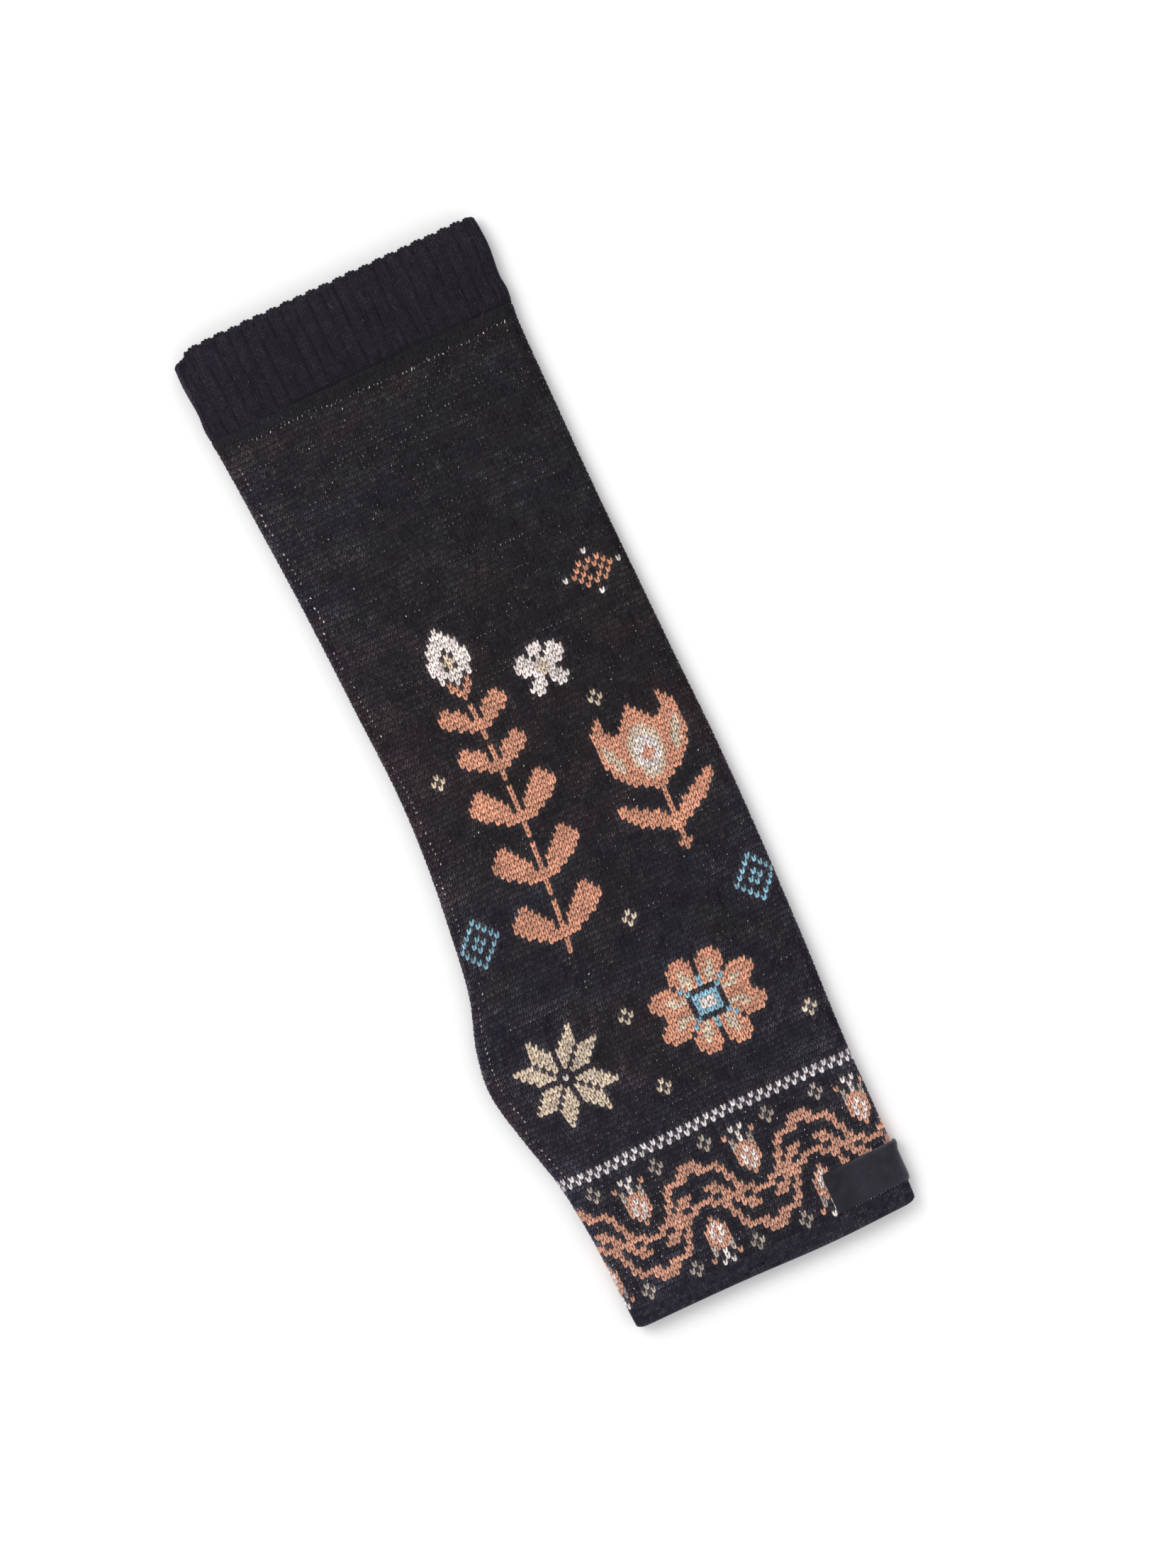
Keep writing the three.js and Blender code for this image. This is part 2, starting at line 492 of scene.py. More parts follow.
foldedMotifs = ("star", "diamond", "seed", "rosette")   # these are mirrored below their last row too
# Wale of the middle and row of the lowest stitch above the border, with the yarns that change
motifPlaces = {
    "leafPair": ((23, 36), (23, 47), (23, 58), (113, 30, {"T": "B"}), (113, 41, {"T": "B"})),
    "smallLeafPair": ((23, 69), (23, 77), (113, 52, {"T": "B"}), (113, 60, {"T": "B"})),
    "bud": ((23, 85), (113, 68, {"W": "O", "B": "W"})),
    "tulip": ((52, 44, {"O": "T"}), (84, 44)),
    "blossom": ((45, 9), (88, 10)),
    "star": ((15, 8), (116, 7)),
    "daisy": ((40, 80), (84, 84)),
    "diamond": ((62, 30), (6, 40), (128, 36), (101, 56)),
    "seed": ((58, 92), (124, 84)),
    "rosette": (
        (30, 20), (62, 8), (36, 36), (10, 72), (47, 74), (30, 6), (74, 36), (103, 8), (96, 70),
    ),
    "heart": ((100, 34), (99, 80)),
}


def stampMotif(cloth, name, wale, row, otherYarns={}):
    chart = [line + line[-2::-1] for line in motifHalves[name].split()]
    if name in foldedMotifs:
        chart += chart[-2::-1]
    for up, line in enumerate(reversed(chart)):
        for step, letter in enumerate(line):
            if letter != ".":
                column = (wale - len(line) // 2 + step) % knit["wales"]
                cloth[knit["borderRows"] + row + up, column] = otherYarns.get(letter, letter)


def chartCloth():
    cloth = np.full((rowCount, knit["wales"]), ".", dtype="<U1")
    cloth[-knit["plainRows"]:] = "D"
    cloth[-1] = "E"
    top, period = borderPlace["top"], len(borderRepeat[0])
    for wale in range(knit["wales"]):
        column = (wale - borderPlace["wale"]) % period
        for down, line in enumerate(borderRepeat):
            if line[column] != ".":
                cloth[top - down, wale] = line[column]
            turned = line[(column - borderPlace["shift"]) % period]
            inRosette = down < borderPlace["rosetteRows"] and turned == "B"
            row = borderPlace["bottom"] + down + inRosette   # these sit one row further in
            if turned != "." and row >= 0:
                cloth[row, wale] = turned
        cloth[top + 1 + (wale + 1) % 2, wale] = "G"   # band of single stitches above the border
    for name, places in motifPlaces.items():
        for place in places:
            stampMotif(cloth, name, *place)
    border, upper = cloth[:knit["borderRows"]], cloth[knit["borderRows"]:]
    border[border == "B"] = "C"
    upper[upper == "T"] = "A"
    return cloth


cloth = chartCloth()
plainRows = np.isin(cloth, ("D", "E"))
coloured = ~plainRows & (cloth != ".")
print("Chart laid out:", cloth.shape[0], "rows of", cloth.shape[1], "stitches")


# One stitch: a leg with a ridge and two pointed ends, mirrored into a V
legShape = {
    "radius": 0.3,
    "length": 0.6,
    "lowRing": (0.18, 0.05),
    "highRing": (0.335, 0.76),
    "tip": (0.06, -0.24, 0.2),
    "top": (0.4, 1.12, 0.0),
    "ridge": 0.48,
    "sunk": 0.04,
}
# Where on a leg its shading starts and ends: up its sides, under the next row, inside the V
legShades = {"rise": (-0.04, 0.44), "dive": (0.25, 1.1), "inner": (0.12, 0.42), "innerUp": (0.2, 0.75)}
# How much of a stitch's surroundings its cell of the bake map holds
bakeCell = {"half": 0.68, "wide": 1.45, "below": 0.28, "high": 1.5, "rim": 0.03}


def makeStitch():
    leg = startPiece(
        "stitch", bpy.ops.mesh.primitive_cylinder_add, vertices=3, radius=legShape["radius"], calc_uvs=False,
        depth=legShape["length"], end_fill_type="TRIFAN", rotation=(math.radians(90), 0, 0),
    )
    bpy.ops.object.transform_apply(location=True, rotation=True, scale=True)
    points = readPoints(leg)
    everywhere = [True] * len(points)
    high = points[:, 1] > 0
    centre = np.hypot(points[:, 0], points[:, 2]) < 0.01
    floor = points[:, 2].min()
    rise = legShape["ridge"] / (points[:, 2].max() - floor)
    movePoints(leg, everywhere, (0, 0, -legShape["sunk"] - floor))
    half = legShape["length"] / 2
    for chosen, ring, back in ((~high, "lowRing", half), (high, "highRing", -half)):
        x, y = legShape[ring]
        movePoints(leg, chosen, (x, y + back, 0))
    points = readPoints(leg)
    for chosen, name in ((~high & centre, "tip"), (high & centre, "top")):
        x, y, z = legShape[name]
        old = points[chosen][0]
        movePoints(leg, chosen, (x - old[0], y - old[1], z / rise - old[2]))
    movePoints(leg, everywhere, (0, 0, 0), (1, 1, rise))
    applyModifier(leg, "MIRROR", use_axis=(True, False, False), use_mirror_merge=False)
    return leg


def knitPanel(stitch, name, wales, rows):
    # Rows of stitches laid flat in units of one wale and one row, each with its own cell of the bake map.
    # Gives the panel, where each point is in its own stitch, and which wale and row that is.
    panel = stitch.copy()
    panel.data = stitch.data.copy()
    panel.name = panel.data.name = name
    bpy.context.collection.objects.link(panel)
    repeatPiece(panel, wales, (1, 0, 0))
    repeatPiece(panel, rows, (0, 1, 0))
    local = readPoints(panel).reshape(rows, wales, -1, 3)
    wale, row = np.arange(wales)[None, :, None], np.arange(rows)[:, None, None]
    local[..., 0] -= wale
    local[..., 1] -= row
    inCell = np.clip(local[..., 0], -bakeCell["half"], bakeCell["half"]) / bakeCell["wide"]
    rim = bakeCell["rim"]
    upCell = np.clip((local[..., 1] + bakeCell["below"]) / bakeCell["high"], rim, 1 - rim)
    flat = np.stack([(wale + 0.5 + inCell) / wales, (row + upCell) / rows], axis=-1).reshape(-1, 2)
    corner = np.empty(len(panel.data.loops), dtype=np.int64)
    panel.data.loops.foreach_get("vertex_index", corner)
    layer = panel.data.uv_layers.new(name="OFBake")
    layer.data.foreach_set("uv", flat[corner].ravel())
    return panel, np.moveaxis(local, -1, 0), wale, row


def layPiece(piece, along, share, depth, tones):
    # Lays a piece over the tube and gives its points their yarn's tones, together with any painted shade and
    # light
    writePoints(piece, skinPoints(along, share, depth))
    paintYarn(piece, tones)
    return smooth(piece)


def paintYarn(piece, tones):
    layer = piece.data.attributes.new("yarn", "FLOAT_COLOR", "POINT")
    colours = np.ones((len(piece.data.vertices), 4))
    colours[:, :3] = np.reshape(tones, (-1, np.shape(tones)[-1]))
    layer.data.foreach_set("color", colours.ravel())


def shadeLegs(tones, local, seed, sides, ridge, heather, top, notch, shadeTint=1.0):
    # Painted shade: each leg is painted dark at its sides and where it dives under the next row, and light
    # along its ridge; the last argument makes the painted shade warmer in some colours
    x, y, z = local
    rows, wales, count = x.shape
    draw = np.random.default_rng(seed)
    leg = (draw.normal(0, 1, (rows, wales, 2)) * heather).repeat(count // 2, axis=2)
    shade = sides + (ridge - sides) * smoothStep(z, *legShades["rise"])
    shade = shade * (1 - top * smoothStep(y, *legShades["dive"]))
    inner = (1 - smoothStep(np.abs(x), *legShades["inner"])) * smoothStep(y, *legShades["innerUp"])
    shade = shade * (1 - notch * inner)
    return tones[..., None, :] * shade[..., None] ** shadeTint * np.exp(leg)[..., None]


def swellLegs(across, up, width):
    # Widens each leg of a stitch about its own middle line
    half = across.shape[-1] // 2
    side = np.repeat([1, -1], half)
    (lowX, lowY), (highX, highY) = legShape["lowRing"], legShape["highRing"]
    middle = np.interp(up, (lowY, highY), (lowX, highX))
    return side * (middle + (side * across - middle) * width)


def yarnColours(letters):
    colours = np.empty(letters.shape + (3,))
    for letter, tone in yarnTones.items():
        colours[letters == letter] = linearTone(tone)
    return colours


def heathered(tone, brighter):
    # Brightness changes by grey, so that light and dark fibres keep to the yarn's own hue
    own = linearTone(tone)
    return own + own.mean() * (np.exp(brighter[..., None]) - 1)


def looseness(seed, rows, wales, amount):
    # Small random shifts and sizes of each stitch: across, along, height, size
    draw = np.random.default_rng(seed)
    return (draw.normal(0, 1, (4, rows, wales)) * np.array(amount)[:, None, None])[..., None]


def waves(share, along, table):
    # Sum of sine waves: height, how often round the tube, pace along it and start of each
    turn = 2 * math.pi * share
    return sum(high * np.sin(often * turn + pace * along + start) for high, often, pace, start in table)


def rowDrift(share, along):
    # The rows wave slowly, less towards both seams
    fade = np.clip(np.minimum(along - knit["borderStart"], knit["bodyEnd"] - along) / knit["driftFade"], 0, 1)
    return waves(share, along, knit["drift"]) * fade


# Seam lines: place along the mitt, reach and depth, then how deep they are on the way round it
seams = {"cuff": (139.8, 1.05, 0.42), "plain": (136.0, 1.2, 0.12), "hem": (-163.2, 0.9, 0.06)}
seamRound = ((0, 0.13, 0.15, 0.45, 0.49, 0.62, 0.85, 1), (0.35, 0.3, 1.1, 1.15, 0.5, 0.8, 0.9, 0.35))
seamUneven = ((0.15, 7, 0, 0.8),)
seamWaves = ((0.22, 3, 0, 1), (0.13, 13, 0, 0), (0.08, 31, 0, 2))


def seamDip(along, share):
    uneven = np.interp(share % 1, *seamRound) + waves(share, along, seamUneven)
    return uneven * sum(deep * away(along, place, reach) for place, reach, deep in seams.values())


def seamShade(along, share):
    return 1 - 0.6 * np.clip(seamDip(along, share) / seams["cuff"][2], 0, 1)


def seamWander(along, share):
    return waves(share, along, seamWaves) * away(along, seams["cuff"][0], 5)


# Painted sheen: the wool is painted lighter towards the folds, where its fibres stand up and catch the light:
# gain and reach at each fold
sheenAndTint = {
    "girth": 217,
    "left": (0.75, 14),
    "leftTint": (1.08, 0.98, 1.03),
    "right": (0.1, 10),
    "rightTint": (1, 1, 1.12),
    "rightLow": 0.4,         # more of it low down
    "lowFrom": (20, -40),
    "dim": 0.17,             # high up the ground grows darker away from the left fold
    "dimAlong": (-25, 30),
    "dimAcross": (12, 72),
    "warm": (0.08, -0.04, -0.13),   # and halfway up it is warmer
    "warmFrom": (-30, 5),
    "warmTo": (92, 55),
}


def fromLeftFold(share):
    return np.minimum(share % 1, 1 - share % 1) * sheenAndTint["girth"]


# Painted sheen towards both folds, with a tint at each
def foldSheen(along, share, strength=1.0):
    fromRight = np.abs(share % 1 - 0.5) * sheenAndTint["girth"]
    (leftGain, leftReach), (rightGain, rightReach) = sheenAndTint["left"], sheenAndTint["right"]
    left = strength * leftGain * np.exp(-fromLeftFold(share) / leftReach)
    rightGain = rightGain + sheenAndTint["rightLow"] * smoothStep(along, *sheenAndTint["lowFrom"])
    right = strength * rightGain * np.exp(-fromRight / rightReach)
    return np.exp(left[..., None] * sheenAndTint["leftTint"] + right[..., None] * sheenAndTint["rightTint"])


def groundWash(along, share):
    dim = smoothStep(along, *sheenAndTint["dimAlong"]) * smoothStep(fromLeftFold(share), *sheenAndTint["dimAcross"])
    warm = smoothStep(along, *sheenAndTint["warmFrom"]) * smoothStep(along, *sheenAndTint["warmTo"])
    return np.exp(warm[..., None] * sheenAndTint["warm"] - sheenAndTint["dim"] * dim[..., None])


# Down to the legs, pairs are for the coloured stitches and for the ground
bodyStitches = {
    "width": (1.03, 0.88),
    "length": (1, 0.84),
    "swell": (1.22, 1.1),     # width of the legs themselves
    "lean": (0.1, 0.13),      # how far the stitches lean to the right
    "proud": (0.04, 0),       # how much higher they stand
    "legs": {
        "sides": (0.88, 0.8),      # shade along the edges of the legs
        "ridge": (1.08, 1.09),
        "top": (0.34, 0.26),       # shade taken away where a leg dives under the next row
        "notch": (0.3, 0.08),      # and inside the V
        "heather": (0.07, 0.14),
    },
    "leanSpread": 0.07,
    "middle": 0.44,
    "endRow": (0.95, 0.3),    # length of the last row's stitches, and how far they are moved down
    "looseness": (0.025, 0.04, 0.015, 0.035),
    # How much warmer the painted shade on coloured stitches grows, per colour
    "shadeTint": (1.0, 1.15, 1.25),
    "spill": 0.05,
    "spillTint": (1.02, 0.96, 1.12),
    "floatWarmth": (0.18, 0.04, -0.04),
    "lowTint": (0.07, 0.04, 0.14),
    "lowRows": (85, 45),      # rows between which the low tint comes in
    "heather": 0.16,
    "colouredHeather": 0.3,   # share of the heather that coloured stitches keep, and plain rows
    "plainHeather": 0.35,
    "streak": (0.08, 11),     # strength, and length in stitches
    # Clouds: strength, seed, reach in rows and in wales
    "cloud": (0.1, 19, 2, 5),
    "patch": (0.2, 23, 1, 1),
    "warmth": (0.06, 29, 2, 3),
    "tint": (0.05, 31, 3, 4),
    "seed": 11,
}
floats = {"startRow": 167.6, "reach": (4, 16), "gain": 2.5, "haze": 1.1, "hazeReach": 2.2}


def blurred(values, rowReach, waleReach):
    # Sum over the neighbours, some rows and wales to each side
    for axis, reach in ((0, rowReach), (1, waleReach)):
        values = sum(np.roll(values, step, axis=axis) for step in range(-reach, reach + 1))
    return values


def clouds(kind):
    # Soft patches, some stitches across, over the whole cloth
    strength, seed, rowReach, waleReach = bodyStitches[kind]
    patches = np.random.default_rng(seed).normal(0, strength, cloth.shape)
    return blurred(patches, rowReach, waleReach) / math.sqrt((2 * rowReach + 1) * (2 * waleReach + 1))


def rowStreaks():
    draw = np.random.default_rng(bodyStitches["seed"] + 3)
    strength, long = bodyStitches["streak"]
    streaks = draw.normal(0, strength, (rowCount, knit["wales"] // long + 1))
    spread = np.repeat(streaks, long, axis=1)[:, :knit["wales"]]
    shift = draw.integers(0, long, rowCount)
    spread = np.stack([np.roll(line, step) for line, step in zip(spread, shift)])
    return sum(np.roll(spread, step, axis=1) for step in (-3, 0, 3)) / 3


def spillTones():
    # Fibres of each coloured stitch stray over the ground beside it
    colours = np.pad(yarnColours(cloth) * coloured[..., None], ((0, 1), (0, 0), (0, 0)))
    near = sum(np.roll(colours, step, axis=axis) for axis in (0, 1) for step in (-1, 1))[:-1] / 2.5
    return near.mean(axis=2, keepdims=True) * bodyStitches["spillTint"]


def floatGlow():
    # Coloured yarns float behind the ground between the motifs, and their warmth shows a little
    glow = np.isin(cloth, ("A", "B", "O")).astype(float)
    rowReach, waleReach = floats["reach"]
    glow[:knit["borderRows"] + rowReach] = 0
    glow = blurred(glow, rowReach, waleReach) / ((2 * rowReach + 1) * (2 * waleReach + 1))
    haze = away(np.arange(rowCount), floats["startRow"] - 2, floats["hazeReach"])[:, None]
    return np.clip(glow * floats["gain"], 0, 1) + floats["haze"] * haze


# Over the whole cloth: brightness in streaks and patches, and the tints of the ground
unevenness = rowStreaks() + clouds("cloud") + clouds("patch")
lowRows = smoothStep(np.arange(rowCount), *bodyStitches["lowRows"])[:, None, None]
groundTint = np.exp(
    floatGlow()[..., None] * bodyStitches["floatWarmth"] + lowRows * bodyStitches["lowTint"]
    + np.stack([clouds("warmth"), np.zeros(cloth.shape), clouds("tint")], axis=-1)
)
spilled = spillTones()


def stitchTones(part, seed):
    # Heathered yarn: each stitch differs a little, and so do patches and streaks along the rows
    draw = np.random.default_rng(bodyStitches["seed"] * 7 + seed)
    brighter = draw.normal(0, bodyStitches["heather"], cloth[part].shape) + unevenness[part]
    brighter = np.where(coloured[part], brighter * bodyStitches["colouredHeather"], brighter)
    brighter = np.where(plainRows[part], brighter * bodyStitches["plainHeather"], brighter)
    inColour = coloured[part][..., None]
    own = yarnColours(cloth[part])
    grey = np.where(inColour, own, own.mean(axis=-1, keepdims=True))
    own = (own + grey * (np.exp(brighter[..., None]) - 1)) * np.where(inColour, 1, groundTint[part])
    return own + bodyStitches["spill"] * (spilled[part] - own * inColour)


def bodyPanel(stitch, name, firstWale, wales, firstRow, rows):
    panel, local, wale, row = knitPanel(stitch, name, wales, rows)
    x, y, z = local
    part = (slice(firstRow, firstRow + rows), slice(firstWale, firstWale + wales))
    inColour, inEndRow = coloured[part][..., None], (cloth[part] == "E")[..., None]

    def byYarn(pair):
        return np.where(inColour, *pair)

    first, seed = firstWale + firstRow, bodyStitches["seed"]
    shiftX, shiftY, shiftZ, size = looseness(seed + first, rows, wales, bodyStitches["looseness"])
    size = (1 + size) * byYarn(bodyStitches["width"])
    lean = np.random.default_rng(seed * 3 + first).normal(0, bodyStitches["leanSpread"], (rows, wales, 1))
    waleAt = firstWale + wale + 0.5 + shiftX
    waleAt = waleAt + swellLegs(x, y, byYarn(bodyStitches["swell"])) * size
    waleAt = waleAt + (lean + byYarn(bodyStitches["lean"])) * (y - 0.4)
    endLength, endDrop = bodyStitches["endRow"]
    stretch = np.where(inEndRow, endLength, byYarn(bodyStitches["length"]))
    middle = bodyStitches["middle"]
    rowAt = firstRow + row + shiftY - endDrop * inEndRow
    rowAt = rowAt + middle + (y - middle) * stretch
    height = z * (1 + 0.5 * (size - 1)) + shiftZ + byYarn(bodyStitches["proud"])
    edges = np.concatenate([[2 * rowEdges[0] - rowEdges[1]], rowEdges, [2 * rowEdges[-1] - rowEdges[-2]]])
    along = np.interp(rowAt, np.arange(-1, rowCount + 2), edges)
    share = waleAt / knit["wales"]
    along = along + rowDrift(share, along) + seamWander(along, share)
    depth = np.maximum(knit["groundDepth"] + seamDip(along, share) - height, 0.02)
    middles = along.mean(axis=2), share.mean(axis=2)
    # Painted shade along the seams; the ground also gets a painted sheen towards the folds and its slow tints
    tones = stitchTones(part, first) * seamShade(*middles)[..., None]
    tones = np.where(inColour, tones, tones * foldSheen(*middles) * groundWash(*middles))
    looks = {look: byYarn(pair) for look, pair in bodyStitches["legs"].items()}
    shadeTint = np.where(inColour[..., None], bodyStitches["shadeTint"], 1.0)
    tones = shadeLegs(tones, local, seed * 5 + first, shadeTint=shadeTint, **looks)
    return layPiece(panel, along, share, depth, tones)


stitch = makeStitch()
print("One stitch:", len(stitch.data.polygons), "faces")
splitRow = 86
bodyPanels = []
for side, firstWale in (("front", 0), ("back", halfRound)):
    for place, firstRow, rows in (("low", 0, splitRow), ("high", splitRow, rowCount - splitRow)):
        name = f"stitches_{side}_{place}"
        bodyPanels.append(bodyPanel(stitch, name, firstWale, halfRound, firstRow, rows))
print("Body stitches:", sum(len(panel.data.polygons) for panel in bodyPanels), "faces")


# Small flecks where the yarns that float behind the ground show between its stitches.
# Sizes and chances are from and to, brightness is the middle and spread of its logarithm.
flecks = {
    "size": (0.2, 0.38, 0.16),
    "depth": 0.14,
    "leans": (-0.3, 0.6, 0.9),
    "waleWidth": 1.5,
    "tall": (0.14, 1.9, 0.16),   # chance of a long one in the first row, its length and slant
    "start": {
        "chance": 0.9, "size": (0.9, 1.3), "bright": (-1.15, 0.55), "fromFold": 5,
        "waves": ((0.25, 0.11), (0.12, 0.43)),
    },
    "stray": {"chance": 0.4, "size": 0.85, "bright": (-2.0, 0.5), "drops": (-0.9, 0.45, -1.5)},
    "seam": {"chance": (0.5, 0.45), "size": (1.1, 1.5), "bright": (-0.95, 0.45)},
    "seamWales": (2.1, 3.4),
    "seamRun": (112, 42),   # where one run of seam stitches starts, and how long each is
    "seamTint": (1.04, 0.96, 0.92),
    "run": {
        "count": 1100, "chance": 0.8, "size": (0.7, 1.2), "bright": (-2.3, 0.45), "uneven": (0.4, 1.4),
        "long": (2, 9), "keep": (0.45, 0.55),   # share kept low down, and how much more high up
    },
    "ground": {"size": (0.7, 1.1), "bright": (-0.5, 0.75), "patch": (5, 10), "power": 1.5},
    "border": (0.6, 0.4),    # chance and brightness in the border, then above it
    "plain": (0.24, 0.17),
    "top": (0.12, 40),       # more of them in the rows below the cuff
    "brightest": 0.9,
    "tones": ((234, 230, 231), (232, 215, 204), (208, 204, 212), (224, 214, 210)),
    "seed": 71,
}


topEdge = rowCount - 5   # further up there are only the flecks of the start


def fleckPlaces():
    # Rows of (wale, row, size, brightness)
    draw = np.random.default_rng(flecks["seed"])
    places = []
    start, stray, seam, run, ground = (flecks[kind] for kind in ("start", "stray", "seam", "run", "ground"))
    for wale in range(knit["wales"]):
        if abs((wale + halfRound // 2) % halfRound - halfRound // 2) < start["fromFold"]:
            continue
        row = sum((high * math.sin(wale * pace) for high, pace in start["waves"]), floats["startRow"])
        if draw.random() < start["chance"]:
            places.append((wale + draw.normal(0, 0.16), row + draw.normal(0, 0.1),
                           draw.uniform(*start["size"]), draw.lognormal(*start["bright"])))
        for drop in stray["drops"]:
            if draw.random() < stray["chance"]:
                places.append((wale + draw.normal(0.5, 0.2), row + drop + draw.normal(0, 0.1),
                               stray["size"], draw.lognormal(*stray["bright"])))
    firstPlace, runLength = flecks["seamRun"]
    low, high = flecks["seamWales"]
    for row in range(knit["borderRows"], topEdge - 1):
        inRun = (firstPlace - rowEdges[row]) % runLength / runLength
        if draw.random() < seam["chance"][0] + seam["chance"][1] * math.sin(math.pi * inRun):
            places.append((low + (high - low) * inRun + draw.normal(0, 0.1), row + 0.12 * (row % 2),
                           draw.uniform(*seam["size"]), draw.lognormal(*seam["bright"])))
    keepLow, keepMore = run["keep"]
    for attempt in range(run["count"]):
        # Short runs along one row
        row = draw.integers(knit["borderRows"] + 1, topEdge)
        if draw.random() > keepLow + keepMore * row / rowCount:
            continue
        first = draw.integers(0, knit["wales"])
        bright = draw.lognormal(*run["bright"])
        for wale in range(first, first + draw.integers(*run["long"])):
            if groundAt(row, wale) and draw.random() < run["chance"]:
                places.append((wale + draw.normal(0, 0.12), row + draw.normal(0, 0.08),
                               draw.uniform(*run["size"]), bright * draw.uniform(*run["uneven"])))
    patchRows, patchWales = ground["patch"]
    patch = draw.random((rowCount // patchRows + 1, knit["wales"] // patchWales + 1))
    patch = 2 * patch ** ground["power"]
    topChance, topRows = flecks["top"]
    for row in range(1, topEdge):
        chance, bright = flecks["border" if row < knit["borderRows"] else "plain"]
        if row >= knit["borderRows"]:
            chance += topChance * max(0, 1 - (topEdge - row) / topRows) ** 1.5
        for wale in range(knit["wales"]):
            here = chance * patch[row // patchRows, wale // patchWales]
            if groundAt(row, wale) and draw.random() < here:
                places.append((wale + draw.normal(0, 0.08), row + draw.normal(0, 0.1),
                               draw.uniform(*ground["size"]), bright * draw.lognormal(*ground["bright"])))
    return np.array(places)


def groundAt(row, wale):
    return (cloth[row, [wale % knit["wales"], (wale + 1) % knit["wales"]]] == ".").all()


def makeFlecks():
    wale, row, size, bright = (column[:, None] for column in fleckPlaces().T)
    piece, (x, y, z) = makeBeads("float_flecks", len(wale), 4, 2)
    draw = np.random.default_rng(flecks["seed"] + 1)
    wide, long, high = flecks["size"]
    lean = draw.choice(flecks["leans"], wale.shape) * y * wide * size
    share = (wale + 1 + (x * wide * size + lean) / flecks["waleWidth"]) / knit["wales"]
    onStart = row > topEdge
    tallChance, tallLength, slant = flecks["tall"]
    tall = np.where(onStart & (draw.random(wale.shape) < tallChance), tallLength, 1)
    along = np.interp(row, np.arange(rowCount + 1), rowEdges)
    along = along + rowDrift(share, along) + 0.25 + y * long * size * tall
    share = share + (tall - 1) * y * slant / knit["wales"]
    depth = np.maximum(flecks["depth"] - z * high * size, 0.015)
    tones = drawTones(draw, flecks["tones"], len(wale))
    warmer = onStart | (wale < flecks["seamWales"][1] + 0.5)
    tones = np.minimum(np.where(warmer, tones * flecks["seamTint"], tones) * bright, flecks["brightest"])
    return layPiece(piece, along, share, depth, tones.repeat(x.shape[1], axis=0))


floatFlecks = makeFlecks()
print("Flecks:", len(floatFlecks.data.polygons), "faces")


# Knitted walls: one closed sleeve each, under the stitches
grid = bpy.ops.mesh.primitive_grid_add


def makeSleeve(name, around, profile, dip=None, through=False, shift=None):
    # Profile is a closed loop of places along the mitt and depths. A dip may go through to the inside.
    stops = len(profile)
    sleeve = startPiece(name, grid, x_subdivisions=around, y_subdivisions=stops, size=1)
    points = readPoints(sleeve)
    stop = np.rint((points[:, 1] + 0.5) * stops).astype(int) % stops
    share = np.rint((points[:, 0] + 0.5) * around) / around % 1
    along, depth = np.array(profile)[stop].T
    moved = along + shift(along, share) if shift else along
    dipped = depth + dip(along, share) * (through | (depth < 1)) if dip else depth
    writePoints(sleeve, skinPoints(moved, share, dipped))
    return sleeve, share, along, depth


def sleeveProfile(outer, inner, stops, innerStops=None, startRound=0.0, endRound=0.0):
    # Outside along the stops, over the edge, and inside back again
    middle = (outer + inner) / 2
    profile = [(along, outer) for along in stops]
    if endRound:
        dip, edge = endRound * 0.35, stops[-1]
        profile += [(edge, outer + dip), (edge + endRound * 0.6, middle), (edge, inner - dip)]
    profile += [(along, inner) for along in reversed(innerStops or stops)]
    if startRound:
        dip, edge = startRound * 0.35, stops[0]
        profile += [(edge, inner - dip), (edge - startRound * 0.6, middle), (edge, outer + dip)]
    return profile


def closeSleeve(sleeve, tones):
    paintYarn(sleeve, tones)
    mergeAndTurnOut(sleeve)
    return smooth(sleeve)


bodySleeve = {
    "shade": 0.6, "colouredShade": 0.3,
    "inside": 0.8, "floatTone": (96, 76, 66), "floatShare": 0.55, "floatLight": (0.4, 1.3),
}


def makeBodySleeve():
    innerStops = list(rowEdges[:-1:6]) + [rowEdges[-1]]
    profile = sleeveProfile(knit["groundDepth"], tube["wall"]["body"], list(rowEdges), innerStops)
    sleeve, share, along, depth = makeSleeve("body_sleeve", knit["wales"], profile, seamDip)
    # A corner takes a coloured yarn's tone only where all four stitches round it are coloured
    wale = np.rint(share * knit["wales"]).astype(int) % knit["wales"]
    row = np.rint(np.interp(along, rowEdges, np.arange(rowCount + 1))).astype(int)
    ground = linearTone(yarnTones["."])
    four = np.stack([
        yarnColours(cloth[np.clip(row - down, 0, rowCount - 1), (wale - left) % knit["wales"]])
        for down in (0, 1) for left in (0, 1)
    ])
    plain = (four.max(axis=2) < 0.1).any(axis=0)[:, None]
    tones = np.where(plain, ground * bodySleeve["shade"], four.mean(axis=0) * bodySleeve["colouredShade"])
    bright = np.random.default_rng(5).uniform(*bodySleeve["floatLight"], (len(along), 1))
    floatShare = bodySleeve["floatShare"]
    inside = floatShare * linearTone(bodySleeve["floatTone"]) * bright + (1 - floatShare) * ground
    return closeSleeve(sleeve, np.where(depth[:, None] > 1, inside * bodySleeve["inside"], tones))


bodyWall = makeBodySleeve()


